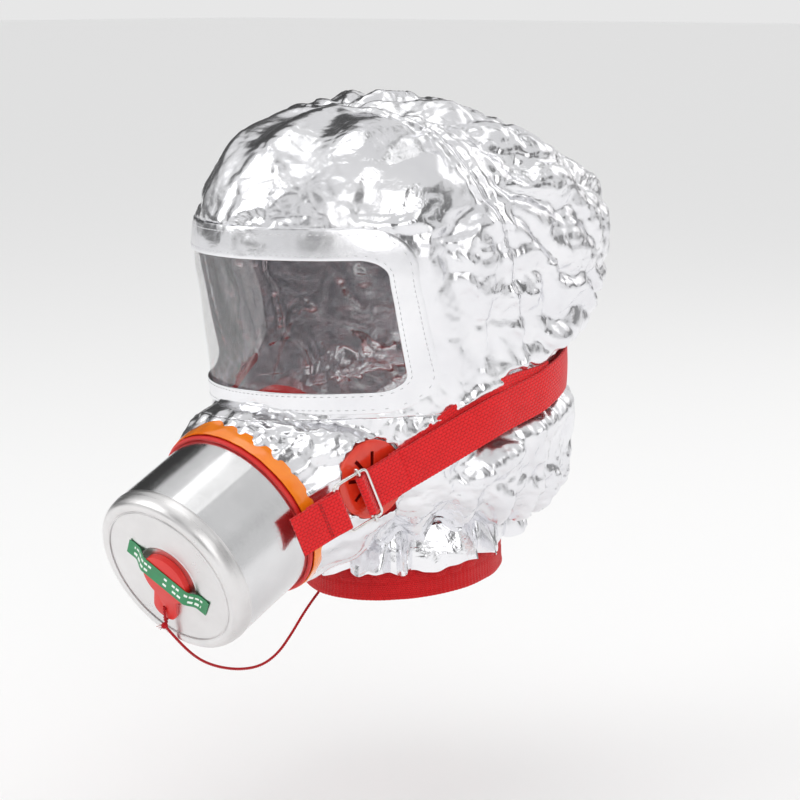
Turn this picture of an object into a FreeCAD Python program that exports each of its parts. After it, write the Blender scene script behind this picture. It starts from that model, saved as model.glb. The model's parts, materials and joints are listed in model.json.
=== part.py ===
import FreeCAD, Part
import math
import os

from FreeCAD import Matrix, Placement, Rotation, Vector

# A smoke hood: a foil-faced cloth hood with a window, a half mask inside it, a filter canister
# in the mask's socket, a head strap with wire buckles and a knitted neck collar.
# Millimetres. +Z is up, -Y is forward and +X is the wearer's left.
# The origin is the centre of the neck opening, at the middle of the collar's lower edge.

# ---------------------------------------------------------------- hood and collar
hood_height = 303.0
hood_front = 150.0
hood_back = 142.0
hood_half_width = 112.0
cloth = 0.8
seam_gap = 0.05
seam_y = -5.0
seam_z = 160.0
seam_lean = 0.36
chin_seam_height = 122.0

collar_half_width = 62.0
collar_half_depth = 68.0
collar_wall = 2.6
collar_slope = 0.09
collar_top = 52.0
collar_gap = 0.2
gather_height = 42.0
gather_slope = 0.13
frill_length = 18.0
frill_flare = 9.0
elastic_height = 4.0
elastic_drop = 2.0
elastic_wall = 1.0

# ---------------------------------------------------------------- window
window_half_width = 80.0
window_low = 138.0
window_high = 218.0
window_corner = 11.0
window_lap = 8.0
film = 0.5
binding_width = 14.0
binding_wall = 0.8

# ---------------------------------------------------------------- canister and its socket
canister_radius = 54.0
canister_reach = 205.0
canister_height = 37.0
canister_tilt = 25.0
canister_wall = 0.6
rim_round = 7.0
bead_width = 3.0
face_step = 0.8
base_depth = 74.0
socket_front = 57.0
socket_back = 77.0
socket_wall = 1.6
band_front = 60.0
band_width = 9.5
band_wall = 1.0
port_radius = 14.0
port_depth = 6.0
plug_clearance = 0.05
plug_head_radius = 16.5
plug_head = 4.0
tab_length = 34.0
tab_half_width = 8.5
tab_thick = 2.5
tab_turn = 26.0
tab_hole_radius = 1.5
tab_hole_station = 26.0
rear_tab_reach = 6.0
label_length = 62.0
label_width = 13.0
label_thick = 0.25
label_turn = 37.0
screen = 0.8
layers = [
    ("dust_pad", 6.0),
    ("pleated_filter", 12.0),
    ("middle_screen", screen),
    ("catalyst_bed", 21.0),
    ("bed_felt", 2.0),
    ("carbon_bed", 20.0),
    ("rear_felt", 2.0),
    ("rear_screen", screen),
]
layer_front = -0.5
spring_wall = 0.6
leaf_length = 12.0
leaf_width = 8.0

# ---------------------------------------------------------------- half mask and valves
mask_depth = 50.0
mask_half_width = 47.0
mask_half_height = 50.0
mask_wall = 2.0
duct_length = 15.0
snout_depth = 38.0
snout_half_width = 77.0
snout_half_height = 54.0
valve_side = 16.0
valve_up = 3.4
valve_back = 108.6
valve_sink = 1.0
valve_turn = 14.0
valve_radius = 24.0
cover_height = 8.5
cover_wall = 1.5
seat_height = 5.0
seat_port = 14.5
disc_radius = 17.0
disc_thick = 1.0
disc_gap = 0.05
valve_lift = 1.5

# ---------------------------------------------------------------- strap and buckles
web_width = 25.0
web = 1.5
wire_radius = 1.0
buckle_length = 24.0
buckle_half_height = 15.5
buckle_corner = 3.0
buckle_side = 15.2
buckle_back = 78.0
buckle_up = 2.0
loop_slack = 0.25
slider_station = 18.0
slider_radius = 0.9
slider_slack = 0.25
wrap_slack = 0.15
wrap_length = 30.0
strap_gap = 0.4
bar_slack = 0.3
layer_gap = 0.3
tab_reach = 33.0
tab_stitch = 10.0
tail_extra = 22.0
strap_proud = 5.5
strap_back_share = 0.379
strap_fall = 35.0
strap_fall_power = 3.5
strap_front_turn = 63.0
strap_first_turn = 72
string_radius = 1.0
knot_radius = 3.0

# Each ring of the hood: height between the gather and the crown, then front reach, back reach,
# half width and the y of its widest point, as shares of the hood's front, back, half width, back.
rings = [
    (0.027, 0.547, 0.655, 0.732, 0.056),
    (0.092, 0.733, 0.782, 0.848, 0.056),
    (0.187, 0.853, 0.796, 0.895, 0.056),
    (0.249, 0.893, 0.732, 0.890, 0.056),
    (0.337, 0.933, 0.648, 0.885, 0.056),
    (0.425, 0.947, 0.676, 0.920, 0.077),
    (0.552, 0.973, 0.944, 0.973, 0.113),
    (0.652, 1.000, 0.986, 1.000, 0.127),
    (0.750, 0.987, 1.000, 0.982, 0.127),
    (0.843, 0.893, 0.901, 0.902, 0.092),
    (0.942, 0.760, 0.408, 0.679, -0.049),
    (1.000, 0.447, 0.056, 0.357, -0.190),
]

far = 400.0
nodes = {}


# ---------------------------------------------------------------- shared shapes
def oval(front, back, wide, middle=0.0, place=Placement()):
    """A closed outline of two half ellipses that meet at the widest point."""
    halves = []
    for reach in (-front - middle, back - middle):
        arc = Part.Arc(Vector(-1, 0, 0), Vector(0, 1, 0), Vector(1, 0, 0)).toShape()
        stretch = Matrix()
        stretch.scale(wide, reach, 1)
        stretch.move(0, middle, 0)
        halves.append(arc.transformGeometry(stretch))
    outline = Part.Wire(Part.__sortEdges__(halves))
    outline.Placement = place
    return outline


def tilted(height, slope):
    """Lifts a flat outline to a height and tips its back up by a slope."""
    return Placement(Vector(0, 0, height), Rotation(Vector(1, 0, 0), math.degrees(math.atan(slope))))


def height_at(share):
    """The height at a share of the way from the gather to the crown."""
    return gather_height + share * (hood_height - gather_height)


def ring_sizes(height):
    """The hood's front reach, back reach, half width and widest point's y at a height."""
    share = (height - gather_height) / (hood_height - gather_height)
    share = min(max(share, rings[0][0]), rings[-1][0])
    above = next(i for i, ring in enumerate(rings) if share <= ring[0])
    low, high = rings[max(above - 1, 0)], rings[max(above, 1)]
    part = (share - low[0]) / (high[0] - low[0])
    front, back, wide, middle = (a + (b - a) * part for a, b in zip(low[1:], high[1:]))
    return front * hood_front, back * hood_back, wide * hood_half_width, middle * hood_back


def hood_point(height, turn, proud):
    """A point proud of the hood: turn is 0 in front, 90 at the wearer's left, 180 behind."""
    front, back, wide, middle = ring_sizes(height)
    across, along = math.sin(math.radians(turn)), -math.cos(math.radians(turn))
    reach = front + middle if along < 0 else back - middle
    return Vector((wide + proud) * across, middle + (reach + proud) * along, height)


def revolve(profile):
    """A solid turned about Z from (radius, z) points, each joined by a straight edge."""
    points = [Vector(r, 0, z) for r, z in profile]
    face = Part.Face(Part.makePolygon(points + points[:1]))
    return face.revolve(Vector(0, 0, 0), Vector(0, 0, 1), 360)


def disc(radius, low, high, bore=0.0):
    """A round plate between two heights, with an optional bore."""
    plate = Part.makeCylinder(radius, high - low, Vector(0, 0, low))
    if bore:
        plate = plate.cut(Part.makeCylinder(bore, high - low, Vector(0, 0, low)))
    return plate


def axes_place(origin, x_axis, z_axis):
    """A placement whose local X and Z point along the given directions."""
    return Placement(origin, Rotation(x_axis, z_axis.cross(x_axis), z_axis, "ZXY"))


def placed(shape, place):
    """A copy of the shape moved by a placement."""
    moved = shape.copy()
    moved.Placement = place.multiply(moved.Placement)
    return moved


def mirrored(shape):
    """The same piece on the wearer's other side."""
    return shape.mirror(Vector(0, 0, 0), Vector(1, 0, 0))


def band_face(line, thick):
    """A flat face in the XZ plane, of one thickness, along a line of (x, z) points."""
    sides = [[], []]
    for i, (x, z) in enumerate(line):
        before, after = line[max(i - 1, 0)], line[min(i + 1, len(line) - 1)]
        into = Vector(x - before[0], 0, z - before[1])
        out = Vector(after[0] - x, 0, after[1] - z)
        into = into.normalize() if into.Length else out.normalize()
        out = out.normalize() if out.Length else into
        mean = (into + out).normalize()
        reach = thick / 2 / max(mean.dot(into), 0.5)
        for side, sign in zip(sides, (1, -1)):
            side.append(Vector(x - sign * mean.z * reach, 0, z + sign * mean.x * reach))
    loop = sides[0] + sides[1][::-1]
    return Part.Face(Part.makePolygon(loop + loop[:1]))


def webbing(line, width):
    """A strap of the webbing's thickness, bent along a line of (x, z) points."""
    strap = band_face(line, web).extrude(Vector(0, width, 0))
    strap.translate(Vector(0, -width / 2, 0))
    return strap


def arc_points(cx, cz, radius, start, end, count):
    """Points of a circular arc in the XZ plane."""
    turns = [math.radians(start + (end - start) * i / count) for i in range(count + 1)]
    return [(cx + radius * math.cos(a), cz + radius * math.sin(a)) for a in turns]


# ---------------------------------------------------------------- places
tilt = math.radians(canister_tilt)
can_up = Vector(0, -math.sin(tilt), math.cos(tilt))
can_ahead = Vector(0, -math.cos(tilt), -math.sin(tilt))
can_place = axes_place(Vector(0, -canister_reach, canister_height), Vector(1, 0, 0), can_ahead)
socket_radius = canister_radius + socket_wall
sleeve_radius = socket_radius + cloth

valve_out = Vector(math.cos(math.radians(valve_turn)), -math.sin(math.radians(valve_turn)), 0)
valve_top = can_place.multVec(Vector(canister_radius + valve_side, valve_up, -valve_back))
valve_base = valve_top - valve_out * (cover_height + valve_sink)
valve_place = axes_place(valve_base, Vector(0, 0, 1), valve_out)


def strap_height(turn):
    """How high the head strap runs at a turn round the hood."""
    fall = strap_fall * ((180 - turn) / (180 - strap_front_turn)) ** strap_fall_power
    return height_at(strap_back_share) - fall


loop_centre = can_place.multVec(Vector(canister_radius + buckle_side, buckle_up, -buckle_back))
strap_aim = hood_point(strap_height(strap_front_turn + 4), strap_front_turn + 4, strap_proud)
buckle_along = (strap_aim - loop_centre).normalize()
buckle_out = buckle_along.cross(Vector(0, 0, 1)).normalize()
buckle_place = axes_place(loop_centre, buckle_along, buckle_out)
strap_depth = wire_radius + loop_slack + web / 2


# ---------------------------------------------------------------- hood
def hood_body(inset, below=0.0):
    """The hood's solid form taken in by inset; below carries its foot past the gather."""
    gap = collar_gap + cloth - inset
    deep, wide = collar_half_depth + gap, collar_half_width + gap
    outlines = [oval(deep, deep, wide, 0, tilted(gather_height - below, gather_slope))]
    for height, front, back, width, middle in rings:
        level = height_at(height) - (inset if height == rings[-1][0] else 0)
        outlines.append(
            oval(
                front * hood_front - inset,
                back * hood_back - inset,
                width * hood_half_width - inset,
                middle * hood_back,
                Placement(Vector(0, 0, level), Rotation()),
            )
        )
    return Part.makeLoft(outlines, True, True)


def snout(inset, beyond=0.0):
    """The hood's sleeve from the mask's socket back into the face, taken in by inset."""
    sizes = [
        (band_front - beyond, sleeve_radius, sleeve_radius),
        (socket_back, sleeve_radius, sleeve_radius),
        (socket_back + snout_depth, snout_half_width, snout_half_height),
        (socket_back + 1.8 * snout_depth, 0.8 * snout_half_width, 0.6 * snout_half_height),
    ]
    outlines = []
    for depth, wide, high in sizes:
        flat = Placement(Vector(0, 0, -depth), Rotation())
        outlines.append(oval(high - inset, high - inset, wide - inset, 0, can_place.multiply(flat)))
    return Part.makeLoft(outlines, True, True)


def window_prism(grow):
    """A block through the hood's front with the window's rounded outline, grown all round."""
    wide = window_half_width + grow
    low, high = window_low - grow, window_high + grow
    block = Part.makeBox(2 * wide, far, high - low, Vector(-wide, -far, low))
    upright = [e for e in block.Edges if abs(e.Vertexes[0].Y - e.Vertexes[-1].Y) > 1]
    return block.makeFillet(window_corner + grow / 2, upright)


def behind_seam(shift):
    """Everything behind the leaning arch seam."""
    block = Part.makeBox(2 * far, 2 * far, 2 * far, Vector(-far, 0, -far))
    lean = math.degrees(math.atan(seam_lean))
    block.Placement = Placement(
        Vector(0, seam_y + shift, seam_z), Rotation(Vector(1, 0, 0), lean)
    )
    return block


def valve_holes(shape):
    """Opens the cloth round both exhalation valves."""
    neck = Part.makeCylinder(valve_radius - cover_wall, 24, Vector(0, 0, -12))
    head = Part.makeCylinder(valve_radius + 0.4, 24, Vector(0, 0, 0.6))
    for tool in (placed(neck, valve_place), placed(head, valve_place)):
        shape = shape.cut(tool).cut(mirrored(tool))
    return shape


def make_hood():
    outer = hood_body(0).fuse(snout(0))
    inner = hood_body(cloth, 4.0).fuse(snout(cloth, 4.0))
    shell = valve_holes(outer.cut(inner))
    rear = behind_seam(seam_gap / 2)
    front = shell.cut(behind_seam(-seam_gap / 2))
    above = Part.makeBox(2 * far, 2 * far, far, Vector(-far, -far, chin_seam_height))
    below = Part.makeBox(
        2 * far, 2 * far, far, Vector(-far, -far, chin_seam_height - far - seam_gap)
    )
    left = Part.makeBox(far, 2 * far, 2 * far, Vector(seam_gap / 2, -far, -far))
    nodes["hood_front_panel"] = front.common(above).cut(window_prism(0))
    nodes["hood_chin_panel"] = front.common(below)
    nodes["hood_left_panel"] = shell.common(rear).common(left)
    nodes["hood_right_panel"] = mirrored(nodes["hood_left_panel"])
    pane = hood_body(cloth).cut(hood_body(cloth + film))
    nodes["window_film"] = pane.common(window_prism(window_lap))
    edge = hood_body(-binding_wall).cut(outer)
    nodes["window_binding"] = edge.common(window_prism(binding_width)).cut(window_prism(0))


def neck_tube(low, high, wall):
    """A tube between two outlines, each given as (grow, height, slope)."""
    skins = []
    for inset in (0, wall):
        outlines = []
        for grow, height, slope in (low, high):
            deep = collar_half_depth + grow - inset
            wide = collar_half_width + grow - inset
            outlines.append(oval(deep, deep, wide, 0, tilted(height, slope)))
        skins.append(Part.makeLoft(outlines, True, True))
    return skins[0].cut(skins[1])


def make_neck():
    nodes["neck_collar"] = neck_tube((0, 0, collar_slope), (0, collar_top, gather_slope), collar_wall)
    under = collar_gap + cloth
    nodes["neck_frill"] = neck_tube(
        (under + frill_flare, gather_height - frill_length, gather_slope),
        (under, gather_height, gather_slope),
        cloth,
    )
    levels = []
    for drop in (elastic_drop + elastic_height, elastic_drop):
        around = under + frill_flare * drop / frill_length + seam_gap + elastic_wall
        levels.append((around, gather_height - drop, gather_slope))
    nodes["neck_elastic"] = neck_tube(levels[0], levels[1], elastic_wall)


# ---------------------------------------------------------------- canister
def perforated(plate, radius):
    """Pierces a round screen with three rings of holes."""
    for ring in (1, 2, 3):
        for i in range(6 * ring):
            turn = 2 * math.pi * i / (6 * ring)
            reach = radius * ring / 3.8
            spot = Vector(reach * math.cos(turn), reach * math.sin(turn), -far)
            plate = plate.cut(Part.makeCylinder(3.0, 2 * far, spot))
    return plate


def pleats(radius, low, high):
    """Filter paper folded in a zigzag and trimmed to a circle."""
    pitch = 6.0
    count = int(2 * radius / pitch)
    line = []
    for i in range(2 * count + 1):
        level = high - 0.5 if i % 2 else low + 0.5
        line.append((-radius + i * pitch / 2, level))
    block = band_face(line, 0.5).extrude(Vector(0, 2 * radius, 0))
    block.translate(Vector(0, -radius, 0))
    return block.common(disc(radius, low, high))


def make_canister():
    radius, wall = canister_radius, canister_wall
    inside = radius - wall
    shell = disc(radius, -base_depth, 0, inside)
    nodes["canister_shell"] = placed(shell, can_place)
    face = rim_round - face_step
    crown = [(radius, 0)]
    for turn in range(15, 91, 15):
        angle = math.radians(turn)
        crown.append((radius - rim_round * (1 - math.cos(angle)), rim_round * math.sin(angle)))
    bead = radius - rim_round - bead_width
    under = [(r - wall, z * (1 - wall / rim_round)) for r, z in crown[::-1]]
    ring = revolve(crown + [(bead, rim_round), (bead - 1, face), (bead - 1, face - wall)] + under)
    plate = disc(bead - 0.5, face - wall, face, port_radius)
    tube = disc(port_radius + wall, rim_round - port_depth, face, port_radius)
    nodes["canister_cover"] = placed(ring.fuse(plate).fuse(tube), can_place)
    base = disc(inside, -base_depth, wall - base_depth, port_radius)
    base = base.fuse(disc(port_radius + wall, -base_depth, port_depth - base_depth, port_radius))
    nodes["canister_base"] = placed(base, can_place)

    front = perforated(disc(inside, layer_front - screen, layer_front), inside)
    nodes["front_screen"] = placed(front, can_place)
    level = layer_front - screen
    for name, thick in layers:
        low = level - thick
        if name == "pleated_filter":
            layer = pleats(inside, low, level)
        elif name.endswith("screen"):
            layer = perforated(disc(inside, low, level), inside)
        else:
            layer = disc(inside, low, level)
        nodes[name] = placed(layer, can_place)
        level = low
    nodes["spring_plate"] = placed(spring_plate(inside, wall - base_depth, level), can_place)


def spring_plate(radius, low, high):
    """A flat ring on the base whose raised leaves press the filter stack forward."""
    ring = disc(radius - 2, low, low + spring_wall, radius - 2 - leaf_length)
    rise = high - low - spring_wall
    line = [(radius - 8, low + spring_wall / 2), (radius - 14, low + spring_wall / 2)]
    line += [(radius - 20, low + spring_wall / 2 + rise), (radius - 28, low + spring_wall / 2 + rise)]
    leaf = band_face(line, spring_wall).extrude(Vector(0, leaf_width, 0))
    leaf.translate(Vector(0, -leaf_width / 2, 0))
    for i in range(6):
        turned = leaf.copy()
        turned.rotate(Vector(0, 0, 0), Vector(0, 0, 1), 60 * i)
        ring = ring.fuse(turned)
    return ring


def plug(tab, hole_station):
    """A push-in plug: stem below z=0, head above it, and a pull tab with a string hole."""
    stem_radius = port_radius - plug_clearance
    body = disc(stem_radius, -port_depth, plug_head / 2).fuse(disc(plug_head_radius, 0.05, plug_head))
    flag = Part.makeBox(2 * tab_half_width, tab, tab_thick, Vector(-tab_half_width, -tab, 0.1))
    upright = [e for e in flag.Edges if abs(e.Vertexes[0].Z - e.Vertexes[-1].Z) > 1]
    tip = [e for e in upright if e.Vertexes[0].Y < -1]
    flag = flag.makeFillet(tab_half_width * 0.8, tip)
    hole = Part.makeCylinder(tab_hole_radius, far, Vector(0, -hole_station, -far / 2))
    return body.fuse(flag.cut(hole))


def make_plugs():
    face = rim_round - face_step
    turned = Placement(Vector(0, 0, face), Rotation(Vector(0, 0, 1), -tab_turn))
    front = plug(tab_length, tab_hole_station)
    nodes["front_plug"] = placed(front, can_place.multiply(turned))
    turned = Placement(Vector(0, 0, -base_depth), Rotation(Vector(0, 1, 0), 180))
    rear_tab = plug_head_radius + rear_tab_reach
    rear = plug(rear_tab, rear_tab - rear_tab_reach / 2)
    nodes["rear_plug"] = placed(rear, can_place.multiply(turned))

    top = plug_head + 0.1
    half = label_length / 2
    line = [(-half, 0.2), (-plug_head_radius - 6, 0.3), (-plug_head_radius - 0.6, top)]
    line += [(-x, z) for x, z in line[::-1]]
    strip = band_face([(x, z + label_thick / 2) for x, z in line], label_thick)
    strip = strip.extrude(Vector(0, label_width, 0))
    strip.translate(Vector(0, -label_width / 2, 0))
    turned = Placement(Vector(0, 0, face), Rotation(Vector(0, 0, 1), -label_turn))
    nodes["cover_label"] = placed(strip, can_place.multiply(turned))


# ---------------------------------------------------------------- half mask
def mask_form(inset):
    """The mask's cup from the socket back to the face, taken in by inset."""
    sizes = [
        (socket_back, socket_radius, socket_radius),
        (socket_back + 0.45 * mask_depth, 1.08 * mask_half_width, 1.02 * mask_half_height),
        (socket_back + mask_depth, mask_half_width, mask_half_height),
    ]
    outlines = []
    for depth, wide, high in sizes:
        flat = Placement(Vector(0, 0, -depth), Rotation())
        outlines.append(oval(high - inset, high - inset, wide - inset, 0, can_place.multiply(flat)))
    return Part.makeLoft(outlines, True, True)


def make_mask():
    radius = canister_radius
    socket = disc(socket_radius, -socket_back, -socket_front, radius)
    step = disc(socket_radius, -socket_back, -base_depth, radius - 6)
    cup = mask_form(0)
    duct = Part.makeCylinder(valve_radius - 6, duct_length, Vector(0, 0, -duct_length))
    for tube in (placed(duct, valve_place), mirrored(placed(duct, valve_place))):
        cup = cup.fuse(tube)
    cup = cup.cut(mask_form(mask_wall))
    bore = Part.makeCylinder(seat_port, 2 * duct_length, Vector(0, 0, -2 * duct_length))
    for tube in (placed(bore, valve_place), mirrored(placed(bore, valve_place))):
        cup = cup.cut(tube)
    cup = cup.fuse(placed(socket.fuse(step), can_place))
    nodes["half_mask"] = cup.removeSplitter()
    band = disc(sleeve_radius + band_wall, -band_front - band_width, -band_front, sleeve_radius + 0.02)
    nodes["socket_band"] = placed(band, can_place)


# ---------------------------------------------------------------- exhalation valves
def valve_cover():
    """A slotted cap that clips over the seat."""
    top = cover_height
    cap = disc(valve_radius, 1.0, top)
    cap = cap.cut(disc(valve_radius - cover_wall, 0.0, seat_height))
    cap = cap.cut(disc(valve_radius - cover_wall - 2, 0.0, top - cover_wall))
    slot = Part.makeBox(9, 2.4, 4, Vector(8, -1.2, top - 3))
    for i in range(8):
        turned = slot.copy()
        turned.rotate(Vector(0, 0, 0), Vector(0, 0, 1), 45 * i)
        cap = cap.cut(turned)
    rim = [e for e in cap.Edges if len(e.Vertexes) == 1 and abs(e.Length - 2 * math.pi * valve_radius) < 1]
    rim = [e for e in rim if e.Vertexes[0].Z > top - 0.1]
    return cap.makeFillet(1.2, rim)


def make_valves():
    seat = disc(valve_radius - cover_wall - 0.05, 0, seat_height, seat_port)
    pocket = disc(disc_radius + 1, seat_height / 2, seat_height + 1)
    seat = seat.cut(pocket)
    bar = Part.makeBox(2 * seat_port + 1, 2, 1.5, Vector(-seat_port - 0.5, -1, 0.5))
    for turn in (0, 60, 120):
        spoke = bar.copy()
        spoke.rotate(Vector(0, 0, 0), Vector(0, 0, 1), turn)
        seat = seat.fuse(spoke)
    flap = disc(disc_radius, seat_height / 2 + disc_gap, seat_height / 2 + disc_gap + disc_thick)
    for name, piece in (("valve_seat", seat), ("valve_disc", flap), ("valve_cover", valve_cover())):
        nodes["left_" + name] = placed(piece, valve_place)
        nodes["right_" + name] = mirrored(nodes["left_" + name])


# ---------------------------------------------------------------- buckles and strap
def wire_frame():
    """A rectangle of round wire: loop bar at x=0, rails along X and a far bar."""
    x, y, r = buckle_length, buckle_half_height, buckle_corner
    corners = [(0, -y, 1, 1), (x, -y, -1, 1), (x, y, -1, -1), (0, y, 1, -1)]
    edges = []
    for i, (cx, cy, sx, sy) in enumerate(corners):
        first = Vector(cx, cy + sy * r, 0) if i % 2 == 0 else Vector(cx + sx * r, cy, 0)
        last = Vector(cx + sx * r, cy, 0) if i % 2 == 0 else Vector(cx, cy + sy * r, 0)
        short = r * (1 - math.sqrt(0.5))
        edges.append(Part.Arc(first, Vector(cx + sx * short, cy + sy * short, 0), last).toShape())
    ends = [(e.Vertexes[0].Point, e.Vertexes[-1].Point) for e in edges]
    runs = [Part.makeLine(ends[i][1], ends[(i + 1) % 4][0]) for i in range(4)]
    path = Part.Wire(Part.__sortEdges__(edges + runs))
    begin = path.OrderedEdges[0]
    point = begin.valueAt(begin.FirstParameter)
    along = begin.tangentAt(begin.FirstParameter)
    profile = Part.Wire(Part.Circle(point, along, wire_radius).toShape())
    return path.makePipeShell([profile], True, False)


def slider_bar():
    """The sliding bar, with an eye round each rail."""
    eye = wire_radius + slider_slack + slider_radius
    reach = buckle_half_height - eye
    bar = Part.makeCylinder(slider_radius, 2 * reach, Vector(0, -reach, 0), Vector(0, 1, 0))
    for side in (-1, 1):
        centre = Vector(0, side * buckle_half_height, 0)
        bar = bar.fuse(Part.makeTorus(eye, slider_radius, centre, Vector(1, 0, 0)))
    bar.translate(Vector(slider_station, 0, 0))
    return bar


def strap_tab():
    """The sewn tab: doubled webbing round the loop bar."""
    bend = strap_depth
    flat = web / 2 + 0.05
    over = [(-tab_reach, flat), (-tab_stitch, flat), (-bend - 1, bend * 0.95)]
    under = [(-bend - 1, -bend * 0.95), (-tab_stitch, -flat), (-2 * tab_stitch, -flat)]
    return webbing(over + arc_points(0, 0, bend, 90, -90, 8) + under, web_width)


def strap_end():
    """The strap's free end: under the far bar, over the slider, and back under itself."""
    x, bend = slider_station, slider_radius + wrap_slack + web / 2
    far_x, clear = buckle_length, wire_radius + bar_slack + web / 2
    cross = math.degrees(math.asin((bend + clear) / (far_x - x)))
    under = -clear - web - layer_gap
    end = x + wrap_length
    line = [(end, -clear), (far_x + 4, -clear)]
    line += arc_points(far_x, 0, clear, 270, 270 - cross, 4)
    line += arc_points(x, 0, bend, 90 - cross, 275, 8)
    line += [(far_x, under + 0.1), (far_x + 4, under), (end, under)]
    return webbing(line, web_width)


def sweep_strap(points, outs, width):
    """A flat strap through points; outs gives its outward direction at each."""
    outlines = []
    for i, (point, out) in enumerate(zip(points, outs)):
        along = (points[min(i + 1, len(points) - 1)] - points[max(i - 1, 0)]).normalize()
        up = out.cross(along).normalize() * (width / 2)
        side = along.cross(up).normalize() * (web / 2)
        corners = [point + up + side, point + up - side, point - up - side, point - up + side]
        outlines.append(Part.makePolygon(corners + corners[:1]))
    return Part.makeLoft(outlines, True, True)


def strap_path(depth, proud):
    """Left half of the head strap's route from the buckle round to the back."""
    start = slider_station + wrap_length + strap_gap
    points = [buckle_place.multVec(Vector(start + step, 0, depth)) for step in (0, 6)]
    outs = [buckle_out, buckle_out]
    for turn in range(strap_first_turn, 181, 9):
        height = strap_height(turn)
        points.append(hood_point(height, turn, proud))
        near = hood_point(height, turn - 1, proud)
        past = hood_point(height, turn + 1, proud)
        outs.append((past - near).cross(Vector(0, 0, 1)).normalize())
    return points, outs


def make_strap():
    main_depth = -(wire_radius + bar_slack + web / 2)
    points, outs = strap_path(main_depth, strap_proud)
    flip = [Vector(-p.x, p.y, p.z) for p in points[::-1]]
    flip_outs = [Vector(-o.x, o.y, o.z) for o in outs[::-1]]
    if points[-1].distanceToPoint(flip[0]) < 1:
        flip, flip_outs = flip[1:], flip_outs[1:]
    nodes["head_strap"] = sweep_strap(points + flip, outs + flip_outs, web_width)
    pieces = {
        "strap_tab": strap_tab(),
        "buckle_frame": wire_frame(),
        "buckle_slider": slider_bar(),
        "strap_end": strap_end(),
    }
    for name, piece in pieces.items():
        nodes["left_" + name] = placed(piece, buckle_place)
        nodes["right_" + name] = mirrored(nodes["left_" + name])
    rest = tail_extra - points[0].distanceToPoint(points[1])
    tail = [points[0], points[1], points[1] + (points[2] - points[1]).normalize() * rest]
    tail = [point - out * (web + 3 * layer_gap) for point, out in zip(tail, outs)]
    nodes["left_strap_tail"] = sweep_strap(tail, outs[:3], web_width)
    nodes["right_strap_tail"] = mirrored(nodes["left_strap_tail"])


# ---------------------------------------------------------------- pull string
outer_route = [
    (-14, -200.2, -0.8),
    (-13, -188, -15),
    (-13, -173, -27.5),
    (-13, -157, -35.4),
    (-14, -138, -41.3),
    (-15, -119, -43.5),
    (-16, -103, -39.5),
    (-16, -91, -30),
    (-17, -79, -19.5),
    (-18, -68, -11.5),
    (-18, -60, -5.8),
    (-18, -55.5, 3.5),
    (-18, -54, 13),
]
inner_route = [
    (-18, -54, 13),
    (-18, -52.4, 23),
    (-16, -54.5, 35),
    (-12, -61.5, 48),
    (-8, -74, 52.5),
    (-5, -85.5, 46.5),
    (-3, -97, 41.5),
    (-1, -110.5, 43.5),
    (0, -122, 50.3),
]


def string_tube(route, name):
    """Straight runs joined by arcs as large as the runs allow."""
    points = [Vector(*p) for p in route]
    edges, radii = [], []
    last = points[0]
    for before, corner, after in zip(points, points[1:], points[2:]):
        into, out = (corner - before), (after - corner)
        cut = 0.45 * min(into.Length, out.Length)
        turn = into.getAngle(out)
        radii.append(cut / math.tan(turn / 2))
        first = corner - into.normalize() * cut
        end = corner + out.normalize() * cut
        bisect = ((first + end) * 0.5 - corner).normalize()
        reach = radii[-1] / math.cos(turn / 2) - radii[-1]
        edges.append(Part.LineSegment(last, first).toShape())
        edges.append(Part.Arc(first, corner + bisect * reach, end).toShape())
        last = end
    edges.append(Part.LineSegment(last, points[-1]).toShape())
    path = Part.Wire(edges)
    section = Part.Wire(Part.Circle(points[0], points[1] - points[0], string_radius).toShape())
    tube = path.makePipeShell([section], True, False)
    print(name, "radii", [round(r, 1) for r in radii], "length", round(path.Length, 1))
    expected = math.pi * string_radius**2 * path.Length
    print(name, "volume", round(tube.Volume, 1), "expected", round(expected, 1))
    return tube


def knot_at(route):
    """A knot whose flat side meets the string's first point."""
    first = Vector(*route[0])
    along = (Vector(*route[1]) - first).normalize()
    flat = knot_radius * 0.6
    ball = Part.makeSphere(knot_radius).cut(Part.makeBox(20, 20, 20, Vector(-10, -10, flat)))
    return placed(ball, Placement(first - along * flat, Rotation(Vector(0, 0, 1), along)))


def make_string():
    nodes["string_outer"] = string_tube(outer_route, "outer string")
    nodes["string_inner"] = string_tube(inner_route, "inner string")
    nodes["string_knot"] = knot_at(outer_route)
    nodes["rear_knot"] = knot_at(inner_route[::-1])


os.makedirs("parts", exist_ok=True)
for step in (make_hood, make_neck, make_canister, make_plugs, make_mask, make_valves):
    step()
make_strap()
make_string()
for node, shape in nodes.items():
    shape.exportStep("parts/" + node + ".step")
    print(node, len(shape.Solids), shape.isValid(), round(shape.Volume, 1))
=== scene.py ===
import json
import math
import random

import bpy
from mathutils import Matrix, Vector, noise
from mathutils.kdtree import KDTree


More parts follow.
